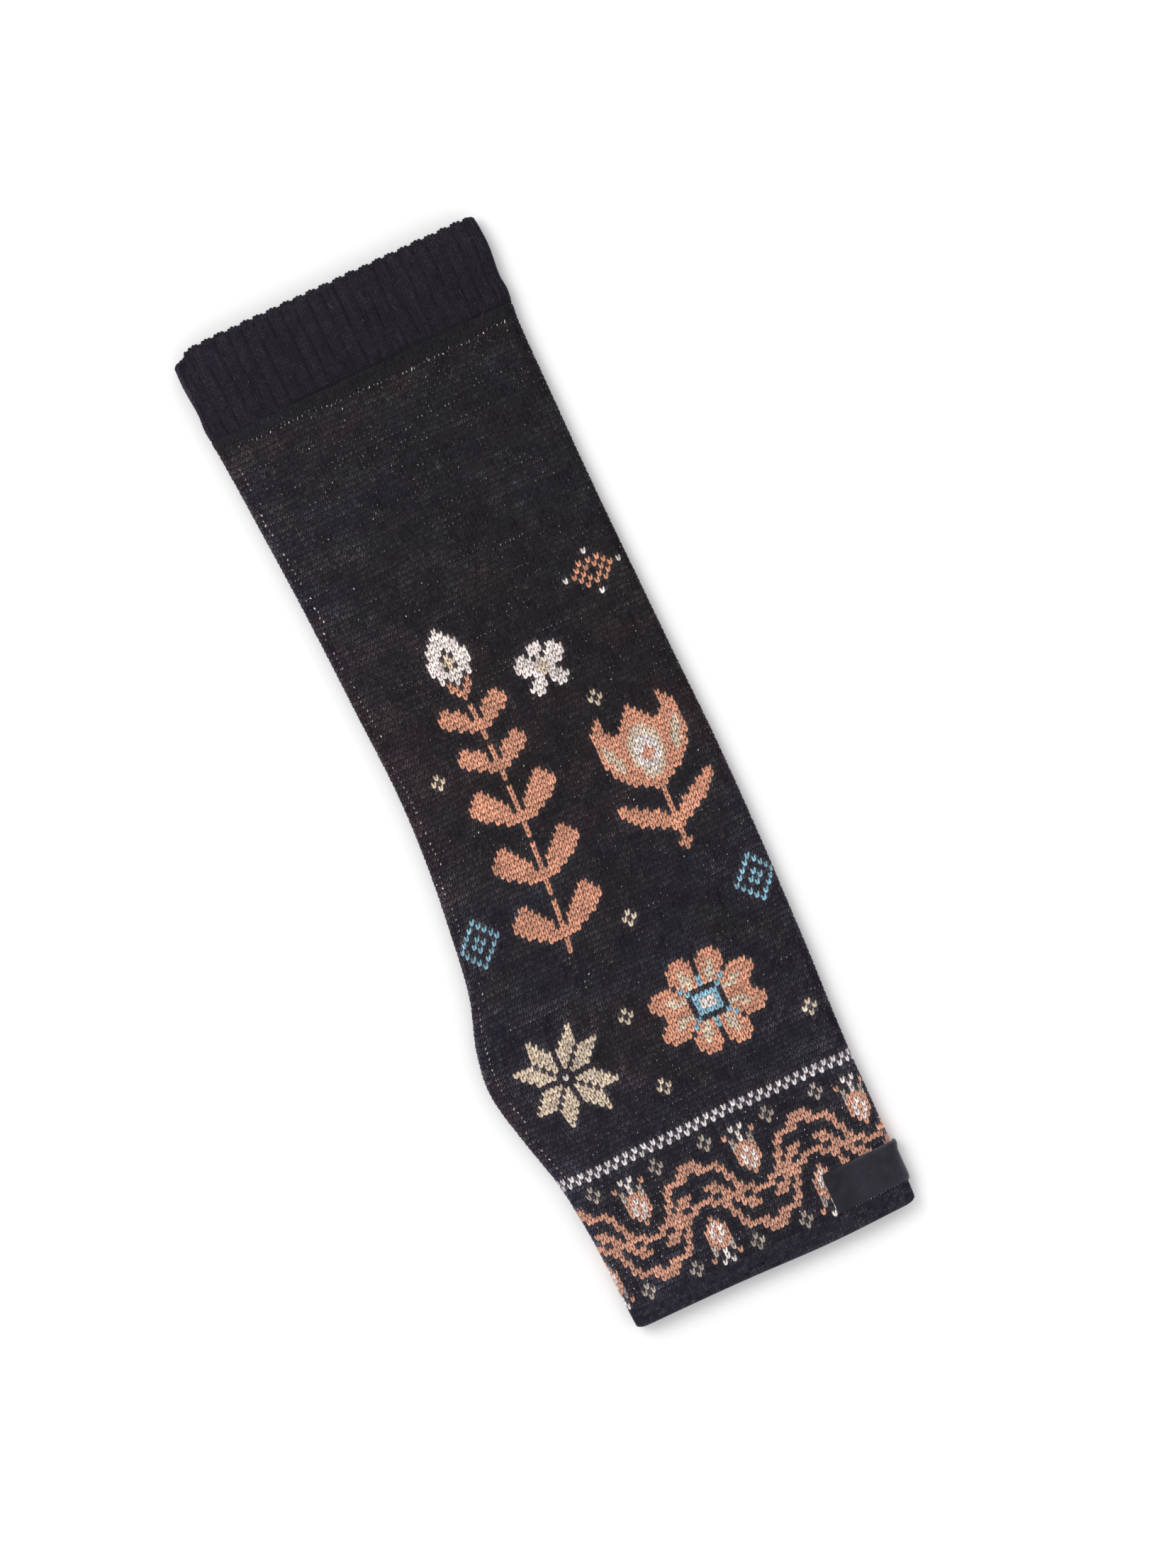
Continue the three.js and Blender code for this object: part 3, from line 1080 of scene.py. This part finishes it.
# Ribbed cuff: ribs of three raised wales with a sunk one between them
cuff = {
    "ribs": 49,
    "rows": 31,
    "waleMiddles": (0.2, 0.45, 0.7, 0.95),
    "waleWidth": 0.205,
    "waleLight": (0, -0.03, 0, 0),
    "depth": 0.42,
    "groove": 0.95,
    "grooveHalf": 0.29,
    "grooveShade": 0.4,
    "sway": ((0.018, 9, 0.35, 0), (0.018, -14, 0.21, 1.3)),   # waves
    "lean": 0.03,
    "rowShift": -0.55,
    "looseness": (0.02, 0.05, 0.015, 0.03),
    "fade": 2.5,
    "groundDepth": 0.5,
    "overlap": 0.7,
    "tone": (47, 43, 54),
    "shade": 0.6,
    "legs": {"sides": 0.72, "ridge": 1.1, "heather": 0.05, "top": 0.06, "notch": 0.1},
    "sheenAndTint": 0.55,
    "topLight": 0.2,
    "heather": 0.12,
    "streak": 0.1,
    "patch": 0.06,
    "stepsPerRib": 6,
    "loopReach": 0.9,
    "loopSize": (0.64, 0.9, 0.88),
    "loopDepth": 0.95,
    "loopShade": 0.62,
    "loopHeather": 0.15,
    "loopScatter": (0.05, 0.15),   # across, and back from the edge
    "edgeWave": 0.75,
    "creases": ((0.031, 0.0036, 0.22), (0.4835, 0.002, 0.2)),   # place round the cuff, reach, depth
    "creaseRise": (4, 16, 0.0006),   # where they begin, where they are full, and how far they lean
}
cuffStart = halfLength - tube["cuffLength"] + tube["seamGap"]
cuffWales = cuff["ribs"] * len(cuff["waleMiddles"])


def ribSway(along, share):
    # The ribs wander a little to each side
    return waves(share, along, cuff["sway"])


def grooveAt(along, share):
    # 1 at the bottom of a groove between two ribs, 0 on the ribs
    fromGroove = np.abs((share * cuff["ribs"] - ribSway(along, share)) % 1 - cuff["groove"])
    fromGroove = np.minimum(fromGroove, 1 - fromGroove)
    since = along - cuffStart
    groove = np.clip(1 - fromGroove / cuff["grooveHalf"], 0, 1) ** 1.5 * smoothStep(since, -1, cuff["fade"])
    begin, full, lean = cuff["creaseRise"]
    for place, reach, deep in cuff["creases"]:
        fold = away(share, place + lean * (full - since), reach) * smoothStep(since, begin, full)
        groove = groove + deep / cuff["depth"] * fold
    return groove


def ribDip(along, share):
    return cuff["depth"] * grooveAt(along, share) + seamDip(along, share)


def edgeScallop(along, share):
    # The free edge stands higher over each rib than between two
    inRib = share * cuff["ribs"] - ribSway(along, share) - cuff["groove"]
    drop = 1 - np.abs(np.sin(math.pi * inRib)) ** 0.8 + 0.2 * np.sin(61 * share + 1) ** 2
    return -cuff["edgeWave"] * drop * smoothStep(along, halfLength - 5, halfLength)


def waleShare(wale):
    # How far round the tube the middle of a wale of the cuff is
    rib, inRib = np.divmod(wale, len(cuff["waleMiddles"]))
    return (rib + np.take(cuff["waleMiddles"], inRib)) / cuff["ribs"]


def makeCuffSleeve():
    stops = list(np.linspace(cuffStart - cuff["overlap"], halfLength - cuff["loopReach"], 24))
    profile = sleeveProfile(cuff["groundDepth"] + 0.03, tube["wall"]["cuff"], stops, endRound=0.3)
    around = cuff["ribs"] * cuff["stepsPerRib"]
    sleeve = makeSleeve("cuff_sleeve", around, profile, ribDip, True, edgeScallop)[0]
    return closeSleeve(sleeve, linearTone(cuff["tone"]) * cuff["shade"])


def makeCuffStitches(stitch):
    ribs, rows = cuff["ribs"], cuff["rows"]
    panel, local, wale, row = knitPanel(stitch, "cuff_stitches", cuffWales, rows)
    x, y, z = local
    shiftX, shiftY, shiftZ, size = looseness(41, rows, cuffWales, cuff["looseness"])
    share = waleShare(wale) + (x * (1 + size) + shiftX) * cuff["waleWidth"] / ribs
    pitch = (halfLength - cuff["loopReach"] - cuffStart) / rows
    along = cuffStart + (row + cuff["rowShift"] + y + shiftY) * pitch
    share = share + (ribSway(along, share) + cuff["lean"] * (y - 0.4)) / ribs
    along = along + seamWander(along, share) + edgeScallop(along, share)
    along = np.minimum(along, halfLength - 0.02)
    depth = np.maximum(cuff["groundDepth"] + ribDip(along, share) - z - shiftZ, 0.02)
    draw = np.random.default_rng(42)
    brighter = draw.normal(0, cuff["heather"], (rows, cuffWales)) + np.tile(cuff["waleLight"], ribs)
    upWales = draw.normal(0, cuff["streak"], (rows + 6, cuffWales))
    upRibs = draw.normal(0, cuff["patch"], (rows + 4, ribs)).repeat(cuffWales // ribs, axis=1)
    for streaks, reach in ((upWales, 7), (upRibs, 5)):
        brighter = brighter + sum(streaks[step:rows + step] for step in range(reach)) / math.sqrt(reach)
    middles = along.mean(axis=2), share.mean(axis=2)
    # Painted shade along the seam, painted light growing towards the free edge, and a painted sheen towards
    # the folds
    shade = seamShade(*middles) * np.exp(cuff["topLight"] * (smoothStep(middles[0], 150, 168) - 0.3))
    tones = heathered(cuff["tone"], brighter) * foldSheen(*middles, cuff["sheenAndTint"]) * shade[..., None]
    tones = shadeLegs(tones, local, 43, **cuff["legs"])
    tones = tones * (1 - cuff["grooveShade"] * grooveAt(along, share))[..., None]
    return layPiece(panel, along, share, depth, tones)


def makeEdgeLoops():
    # A row of small cast-off loops over the free edge of the cuff
    loops, (x, y, z) = makeBeads("cuff_edge_loops", cuffWales)
    wide, long, high = cuff["loopSize"]
    draw = np.random.default_rng(61)
    aside, back = cuff["loopScatter"]
    middle = waleShare(np.arange(cuffWales)[:, None])
    share = middle + (draw.normal(0, aside, middle.shape) + x * wide) / cuffWales
    along = halfLength - long - draw.uniform(0, back, middle.shape) + y * long
    share = share + ribSway(along, share) / cuff["ribs"]
    along = along + edgeScallop(halfLength, middle)
    # Painted shade: the loops are darkened as a whole, and each more near its middle than at its ends
    bright = cuff["loopShade"] * np.exp(draw.normal(0, cuff["loopHeather"], middle.shape))
    bright = bright * (0.75 + 0.5 * np.abs(y - 0.3))
    tones = linearTone(cuff["tone"]) * bright[..., None]
    return layPiece(loops, along, share, cuff["loopDepth"] - z * high, tones)


cuffWall = makeCuffSleeve()
cuffStitches = makeCuffStitches(stitch)
cuffLoops = makeEdgeLoops()
print("Cuff:", len(cuffStitches.data.polygons), "faces of stitches")


# Plain hem at the hand end, in finer rows
hem = {
    "wales": 136,
    "rows": 7,
    "tone": (48, 46, 57),
    "shade": 0.6,
    "legs": {"sides": 0.62, "ridge": 1.2, "heather": 0.14, "top": 0.15, "notch": 0.1},
    "looseness": (0.03, 0.06, 0.02, 0.04),
    "heather": (0.24, 0.2),   # from stitch to stitch, and along four at a time
    "lean": 0.3,
    "groundDepth": 0.42,
    "start": 0.35,
    "overlap": 0.27,
    "height": 0.85,
    "lip": 0.45,
}
hemStart = -halfLength
hemEnd = hemStart + tube["hemLength"]


def makeHemSleeve():
    stops = list(np.linspace(hemStart + hem["start"], hemEnd + hem["overlap"], 6))
    profile = sleeveProfile(hem["groundDepth"], tube["wall"]["hem"], stops, startRound=0.5)
    sleeve = makeSleeve("hem_sleeve", hem["wales"], profile)[0]
    return closeSleeve(sleeve, linearTone(hem["tone"]) * hem["shade"])


def makeHemStitches(stitch):
    wales, rows = hem["wales"], hem["rows"]
    panel, local, wale, row = knitPanel(stitch, "hem_stitches", wales, rows)
    x, y, z = local
    shiftX, shiftY, shiftZ, size = looseness(51, rows, wales, hem["looseness"])
    waleAt = wale + 0.5 + x * (1 + size) + shiftX + hem["lean"] * (y - 0.4)
    pitch = (hemEnd - hemStart + 0.2) / (rows + 0.2)
    rowAt = row + 0.45 + y + shiftY
    along = np.maximum(hemStart + rowAt * pitch, hemStart + 0.05)
    lip = hem["lip"] * np.clip(1 - (along - hemStart), 0, 1) ** 2
    depth = np.maximum(hem["groundDepth"] + lip - z * hem["height"] - shiftZ, 0.02)
    draw = np.random.default_rng(52)
    single, four = hem["heather"]
    brighter = draw.normal(0, single, (rows, wales))
    brighter = brighter + draw.normal(0, four, (rows, wales // 4)).repeat(4, axis=1)
    tones = shadeLegs(heathered(hem["tone"], brighter), local, 53, **hem["legs"])
    return layPiece(panel, along, waleAt / wales, depth, tones)


hemWall = makeHemSleeve()
hemStitches = makeHemStitches(stitch)
print("Hem:", len(hemStitches.data.polygons), "faces of stitches")


# Woven label, sewn near the hem and carried round the right fold
label = {
    "startX": 27,
    "middleY": -156.6,
    "width": 13.4,
    "wrap": 30,
    "cornerRadius": 1.8,
    "tilt": 0.012,
    "lift": 0.62,
    "edgeLift": 0.2,
    "edgeReach": 1.6,
    "selvage": (0.07, 0.9, 0.35),   # height, place from the edge, reach
    "ripple": (0.05, 0.9),          # height and pace
    "creaseDip": (0.07, 0.6),       # depth and reach
    "turnUnder": (0.14, 1.2),       # how much lower it lies before the crease, and how soon
    "thickness": 0.4,
    "steps": (96, 32),
    "crease": 3.0,
    "flare": (0.9, 7, 0.4),         # height at the fold's upper corner, and where it starts: along, across
    "foldLift": (0.35, 6, 1),       # height, and where it starts and is full before the fold
    "tone": (37, 36, 44),
    "wearSpots": 70,
    "threads": 9,
    "threadTone": (40, 39, 46),
    "threadSize": (0.13, 0.36, 0.13),
    "lowPicks": (19, 5, 1.05, 0.2),    # how many, place of the first, pitch and length of one
    "highPicks": (19, 9.5, 0.8, 0.12),
    "pickTone": (120, 118, 128),
    "pickLight": (-0.4, 0.6),
    "pickScatter": 0.12,
    "pickWidth": (0.14, 0.3, 0.3),   # from and to, and more on the upper edge
    "pickHeight": (0.28, 0.16),
}


def labelWalks():
    # Ways round the tube, from the left fold: to both ends of the label and to the right fold
    left, right, height = outlineAt(float(label["middleY"]))
    quarter = math.pi * height / 4
    half = right - left - height + 2 * quarter
    first = label["startX"] - left - height / 2 + quarter
    return first, half + height / 2 * math.radians(label["wrap"]), half


labelStart, labelEnd, labelFold = labelWalks()


def makeLabel():
    long, wide = label["steps"]
    strip = startPiece("label_strip", grid, x_subdivisions=long, y_subdivisions=wide, size=1)
    points = readPoints(strip)
    across = points[:, 1] * 2
    way = (points[:, 0] + 0.5) * (labelEnd - labelStart)
    walk, fold = labelStart + way, labelFold
    fromEnd = np.clip(1 - way / label["cornerRadius"], 0, 1)
    halfWide = label["width"] / 2 - label["cornerRadius"] * (1 - np.sqrt(1 - fromEnd ** 2))
    along = label["middleY"] + label["tilt"] * way + across * halfWide
    edge = np.minimum((1 - np.abs(across)) * label["width"] / 2, way)
    rise = smoothStep(edge, 0, label["edgeReach"])
    lift = label["edgeLift"] + (label["lift"] - label["edgeLift"]) * rise
    (high, place, reach), (ripple, pace) = label["selvage"], label["ripple"]
    lift = lift + high * away(edge, place, reach) + ripple * np.sin(walk * pace + across) * rise
    (deep, reach), (under, length) = label["creaseDip"], label["turnUnder"]
    fromCrease = way - label["crease"]
    lift = lift - deep * away(fromCrease, 0, reach) - under * smoothStep(-fromCrease, 0, length) * rise
    (high, begin, inner), (top, start, full) = label["flare"], label["foldLift"]
    lift = lift + high * smoothStep(walk, fold - begin, fold) * smoothStep(across, inner, 1)
    lift = lift + top * smoothStep(walk, fold - start, fold - full)
    tones = labelWearAndShading(across, way, edge, fold - labelStart)[:, None]
    layPiece(strip, along, walk / (2 * fold), -lift, tones)
    mergeAndTurnOut(strip)
    applyModifier(strip, "SOLIDIFY", thickness=label["thickness"] * millimetre, offset=-1)
    return strip


def labelWearAndShading(across, way, edge, foldWay):
    # Brightness over the strip, first along its edges, worn and with a painted highlight, more along the
    # upper one
    draw = np.random.default_rng(66)
    wearAndShade = 1 + 2.2 * away(edge, 0, 0.5) * smoothStep(way, 3, 14) * (0.55 + 0.45 * across)
    wearAndShade = wearAndShade + 0.3 * away(edge, 0.9, 0.3) * (across < 0)
    # Then painted shade in the crease, painted light towards the fold, and soft rubbed patches
    bent = label["crease"] + 0.25 * np.sin(across * 5)
    wearAndShade = wearAndShade * (1 - 0.2 * away(way, bent, 0.6) * (0.6 + 0.4 * np.sin(across * 9 + 1)))
    wearAndShade = wearAndShade * (0.9 + 0.18 * smoothStep(way, 2, foldWay - 6) + 0.7 * smoothStep(way, foldWay - 5, foldWay))
    for spot in range(label["wearSpots"]):
        spotWay, spotAcross = 28 * draw.random() ** 1.4, draw.uniform(-1, 1)
        reach = draw.uniform(0.6, 3)
        near = away(way, spotWay, reach) * away(across, spotAcross, reach / 6.7)
        wearAndShade = wearAndShade * (1 + draw.normal(-0.07, 0.2) * near)
    return wearAndShade * np.exp(draw.normal(0, 0.09, len(wearAndShade)))


def makeLabelPicksAndHighlights():
    # Light picks of the selvage that show along the label's lower edge, then along its upper one; in part
    # they are a painted highlight on the edges
    low, lowPlace, lowPitch, lowLong = label["lowPicks"]
    high, highPlace, highPitch, highLong = label["highPicks"]
    picks, (x, y, z) = makeBeads("label_picks_and_highlights", low + high)
    draw = np.random.default_rng(67)
    cell = np.arange(low + high)[:, None]
    upper = cell >= low
    way = np.where(upper, highPlace + highPitch * (cell - low), lowPlace + lowPitch * cell)
    way = way + draw.normal(0, label["pickScatter"], cell.shape)
    edgeAt = np.where(upper, label["width"] / 2 - 0.08, 0.1 - label["width"] / 2)
    along = label["middleY"] + label["tilt"] * way + edgeAt + y * np.where(upper, highLong, lowLong)
    narrow, wide, wider = label["pickWidth"]
    wide = draw.uniform(narrow, wide, cell.shape) + wider * upper
    way = way + x * wide + y * 0.08
    bright = draw.lognormal(*label["pickLight"], cell.shape)
    # The upper picks, partly a painted highlight, grow brighter towards the fold
    bright = bright * np.where(upper, 0.2 + 0.8 * smoothStep(way, 10, 22), 1)
    tones = linearTone(label["pickTone"]) * bright[..., None]
    middle, high = label["pickHeight"]
    return layPiece(picks, along, (labelStart + way) / (2 * labelFold), -middle - z * high, tones)


def makeLabelThreads():
    # Small stitches that hold the label down along its crease
    count = label["threads"]
    threads, (x, y, z) = makeBeads("label_threads", count)
    wide, long, high = label["threadSize"]
    pitch = (label["width"] - 1.6) / count
    place = (np.arange(count)[:, None] - (count - 1) / 2) * pitch
    along = label["middleY"] + place + y * pitch * long
    walk = labelStart + label["crease"] + x * wide
    depth = 0.1 - label["lift"] - z * high
    return layPiece(threads, along, walk / (2 * labelFold), depth, linearTone(label["threadTone"]))


labelStrip = makeLabel()
labelThreads = makeLabelThreads()
labelPicksAndHighlights = makeLabelPicksAndHighlights()
print("Label:", len(labelStrip.data.polygons), "faces")


# Stray fibres that stand off the wool
fuzz = {
    "count": 620,
    "length": (0.8, 3.2),
    "thickness": 0.035,
    "cuts": (0, -0.33, -0.17, 0.17, 0.33),
    "curl": 1.1,
    "arch": 0.12,
    "fromEnd": (4, 0.3),
    "girth": 212,
    "tones": ((98, 94, 102), (122, 118, 126), (80, 77, 84)),
    "seed": 91,
}


def makeFuzz():
    cylinder = bpy.ops.mesh.primitive_cylinder_add
    hair = startPiece("stray_fibres", cylinder, vertices=3, radius=1, depth=1, end_fill_type="TRIFAN")
    bpy.ops.object.mode_set(mode="EDIT")
    for height in fuzz["cuts"]:
        bpy.ops.mesh.select_all(action="SELECT")
        bpy.ops.mesh.bisect(plane_co=(0, 0, height), plane_no=(0, 0, 1))
    bpy.ops.object.mode_set(mode="OBJECT")
    hairs, (x, y, z) = spreadCopies(hair, fuzz["count"])
    draw = np.random.default_rng(fuzz["seed"])
    each = (fuzz["count"], 1)
    thin = fuzz["thickness"] * (1 - 0.6 * (2 * z) ** 2)
    reach = draw.uniform(*fuzz["length"], each) * z
    heading = draw.uniform(0, 2 * math.pi, each)
    angle = heading + draw.normal(0, fuzz["curl"], each) * z
    farthest, last = (halfLength - gap for gap in fuzz["fromEnd"])
    middle = draw.uniform(-farthest, farthest, each)
    along = middle + np.sin(angle) * reach + y * thin * np.cos(heading)
    across = np.cos(angle) * reach - y * thin * np.sin(heading)
    share = draw.uniform(0, 1, each) + across / fuzz["girth"]
    arch = fuzz["arch"] * np.sin(math.pi * (z + 0.5))
    depth = 0.06 - arch * draw.uniform(0, 1, each) + x * thin
    tones = drawTones(draw, fuzz["tones"], fuzz["count"])
    layPiece(hairs, np.clip(along, -last, last), share, depth, tones.repeat(x.shape[1], axis=0))
    mergeAndTurnOut(hairs, 1e-9)
    return hairs


strayFibres = makeFuzz()
print("Stray fibres:", len(strayFibres.data.polygons), "faces")


# Materials
def newMaterial(name, inputs):
    material = bpy.data.materials.new(name)
    material.use_nodes = True
    shader = next(node for node in material.node_tree.nodes if node.type == "BSDF_PRINCIPLED")
    setInputs(shader, inputs)
    return material, shader


def setInputs(node, inputs):
    # Each input gets a number or colour of its own, or a link from another node's output
    for name, value in inputs.items():
        if isinstance(value, bpy.types.NodeSocket):
            node.id_data.links.new(value, node.inputs[name])
        else:
            node.inputs[name].default_value = value


def addNode(shader, kind, output, inputs={}, **settings):
    nodes = shader.id_data.nodes
    down, across = divmod(len(nodes), 6)
    node = nodes.new("ShaderNode" + kind)
    node.location = (across * 220 - 1500, down * -320)
    for setting, value in settings.items():
        setattr(node, setting, value)
    setInputs(node, inputs)
    return node.outputs[output]


def spreadTo(shader, value, low, high, start=0.0, stop=1.0):
    ends = {"From Min": start, "From Max": stop, "To Min": low, "To Max": high}
    return addNode(shader, "MapRange", "Result", {"Value": value, **ends})


woolFinish = {
    "fibres": (2600, 4),    # scale and detail
    "strandSize": (0.00022, 0.001, 0.0004),  # fibres that lie slanting over the stitches
    "strandLean": -20,
    "heather": (900, 3),
    "heatherRange": (0.84, 1.18),
    "roughness": (0.82, 0.98),
    "bump": 0.35,
    "bumpDistance": 0.00012,
    "shader": {"Specular IOR Level": 0.18, "Sheen Weight": 0.03, "Sheen Roughness": 0.45},
}


def woolMaterial(name, strands):
    material, shader = newMaterial(name, woolFinish["shader"])
    place = addNode(shader, "TexCoord", "Object")
    yarn = addNode(shader, "Attribute", "Color", attribute_name="yarn", attribute_type="GEOMETRY")

    def noise(scale, detail, vector=place):
        return addNode(shader, "TexNoise", "Fac", {"Vector": vector, "Scale": scale, "Detail": detail})

    heather = spreadTo(shader, noise(*woolFinish["heather"]), *woolFinish["heatherRange"], 0.3, 0.7)
    lean = (0, 0, math.radians(woolFinish["strandLean"]))
    slant = addNode(shader, "Mapping", "Vector", vector_type="TEXTURE")
    setInputs(slant.node, {"Vector": place, "Rotation": lean, "Scale": woolFinish["strandSize"]})
    strand = spreadTo(shader, noise(1, 1, slant), 1 - strands, 1 + strands, 0.35, 0.65)
    together = addNode(shader, "Math", "Value", {0: heather, 1: strand}, operation="MULTIPLY")
    tint = addNode(shader, "VectorMath", "Vector", {0: yarn, "Scale": together}, operation="SCALE")
    fibres = noise(*woolFinish["fibres"])
    relief = {"Strength": woolFinish["bump"], "Distance": woolFinish["bumpDistance"], "Height": fibres}
    setInputs(shader, {
        "Base Color": tint,
        "Roughness": spreadTo(shader, fibres, *woolFinish["roughness"]),
        "Normal": addNode(shader, "Bump", "Normal", relief),
    })
    return material


satinFinish = {
    "weft": {"Scale": 560, "Distortion": 1.2, "Detail Scale": 3},
    "warp": {"Scale": 700, "Distortion": 0.6},
    "cloudScale": 500,
    "weftShare": 0.45,
    "toneRange": (0.6, 1.4),
    "roughness": (0.42, 0.62),
    "bump": {"Strength": 0.5, "Distance": 0.0001},
    "shader": {"Specular IOR Level": 0.12, "Sheen Weight": 0.05},
}


def labelMaterial():
    material, shader = newMaterial("label satin", satinFinish["shader"])
    place = {"Vector": addNode(shader, "TexCoord", "Object")}

    def threads(kind, direction):
        inputs = {**place, **satinFinish[kind]}
        return addNode(shader, "TexWave", "Fac", inputs, wave_type="BANDS", bands_direction=direction)

    weft, warp = threads("weft", "Y"), threads("warp", "X")
    weave = addNode(shader, "Math", "Value", {0: weft, 1: warp}, operation="MULTIPLY")
    cloud = addNode(shader, "TexNoise", "Fac", {**place, "Scale": satinFinish["cloudScale"]})
    mixed = {"Factor": satinFinish["weftShare"], "A": cloud, "B": weft}
    cloud = addNode(shader, "Mix", "Result", mixed)
    tint = addNode(shader, "ValToRGB", "Color", {"Fac": cloud})
    for element, gain in zip(tint.node.color_ramp.elements, satinFinish["toneRange"]):
        element.color = (*(linearTone(label["tone"]) * gain), 1)
    # The strip's wear, with its painted shade and light, from the points
    wearAndShade = addNode(shader, "Attribute", "Color", attribute_name="yarn", attribute_type="GEOMETRY")
    setInputs(shader, {
        "Base Color": addNode(shader, "VectorMath", "Vector", {0: tint, 1: wearAndShade}, operation="MULTIPLY"),
        "Roughness": spreadTo(shader, weave, *satinFinish["roughness"]),
        "Normal": addNode(shader, "Bump", "Normal", {**satinFinish["bump"], "Height": weave}),
    })
    return material


bodyWool = woolMaterial("body wool", 0.5)
cuffWool = woolMaterial("cuff wool", 0.15)
hemWool = woolMaterial("hem wool", 0.25)
satin = labelMaterial()
labelThread = woolMaterial("label thread", 0.1)
for node, slot, material, pieces in (
    ("body", "jacquard_knit", bodyWool, bodyPanels + [bodyWall, floatFlecks, strayFibres]),
    ("rib_cuff", "rib_knit", cuffWool, [cuffWall, cuffStitches, cuffLoops]),
    ("hem", "hem_knit", hemWool, [hemWall, hemStitches]),
    ("label", "label_satin", satin, [labelStrip]),
    ("label", "label_satin", labelThread, [labelThreads, labelPicksAndHighlights]),
):
    for piece in pieces:
        piece.data.materials.clear()
        piece.data.materials.append(material)
        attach(piece, "root")
        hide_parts(node)
bpy.data.objects.remove(stitch, do_unlink=True)
print("Materials set")


# Floor and soft studio light
studio = {
    "floorSize": 6,
    "floorTone": (250, 250, 250),
    "floorBelow": 0.0002,
    "floorFinish": {"Roughness": 0.9, "Specular IOR Level": 0.1},
    "worldStrength": 0.9,
    "lightSize": 1.2,
    "lightPower": 19,
    "lightPlace": (-0.7, 0.9, 2.0),
}


def makeStudio():
    low = (0, 0, -studio["floorBelow"])
    floor = startPiece("floor", bpy.ops.mesh.primitive_plane_add, size=studio["floorSize"], location=low)
    material, shader = newMaterial("floor paper", studio["floorFinish"])
    shader.inputs["Base Color"].default_value = (*linearTone(studio["floorTone"]), 1)
    floor.data.materials.append(material)
    world = bpy.data.worlds.new("studio")
    bpy.context.scene.world = world
    world.use_nodes = True
    background = next(node for node in world.node_tree.nodes if node.type == "BACKGROUND")
    setInputs(background, {"Color": (1, 1, 1, 1), "Strength": studio["worldStrength"]})
    lamp = startPiece("soft_light", bpy.ops.object.light_add, type="AREA", location=studio["lightPlace"])
    lamp.data.size = studio["lightSize"]
    lamp.data.energy = studio["lightPower"]
    x, y, z = studio["lightPlace"]
    lamp.rotation_euler = (math.atan2(math.hypot(x, y), z), 0, math.atan2(y, x) + math.pi / 2)
    bpy.context.scene.view_settings.view_transform = "Standard"
    bpy.context.scene.view_settings.look = "None"


makeStudio()
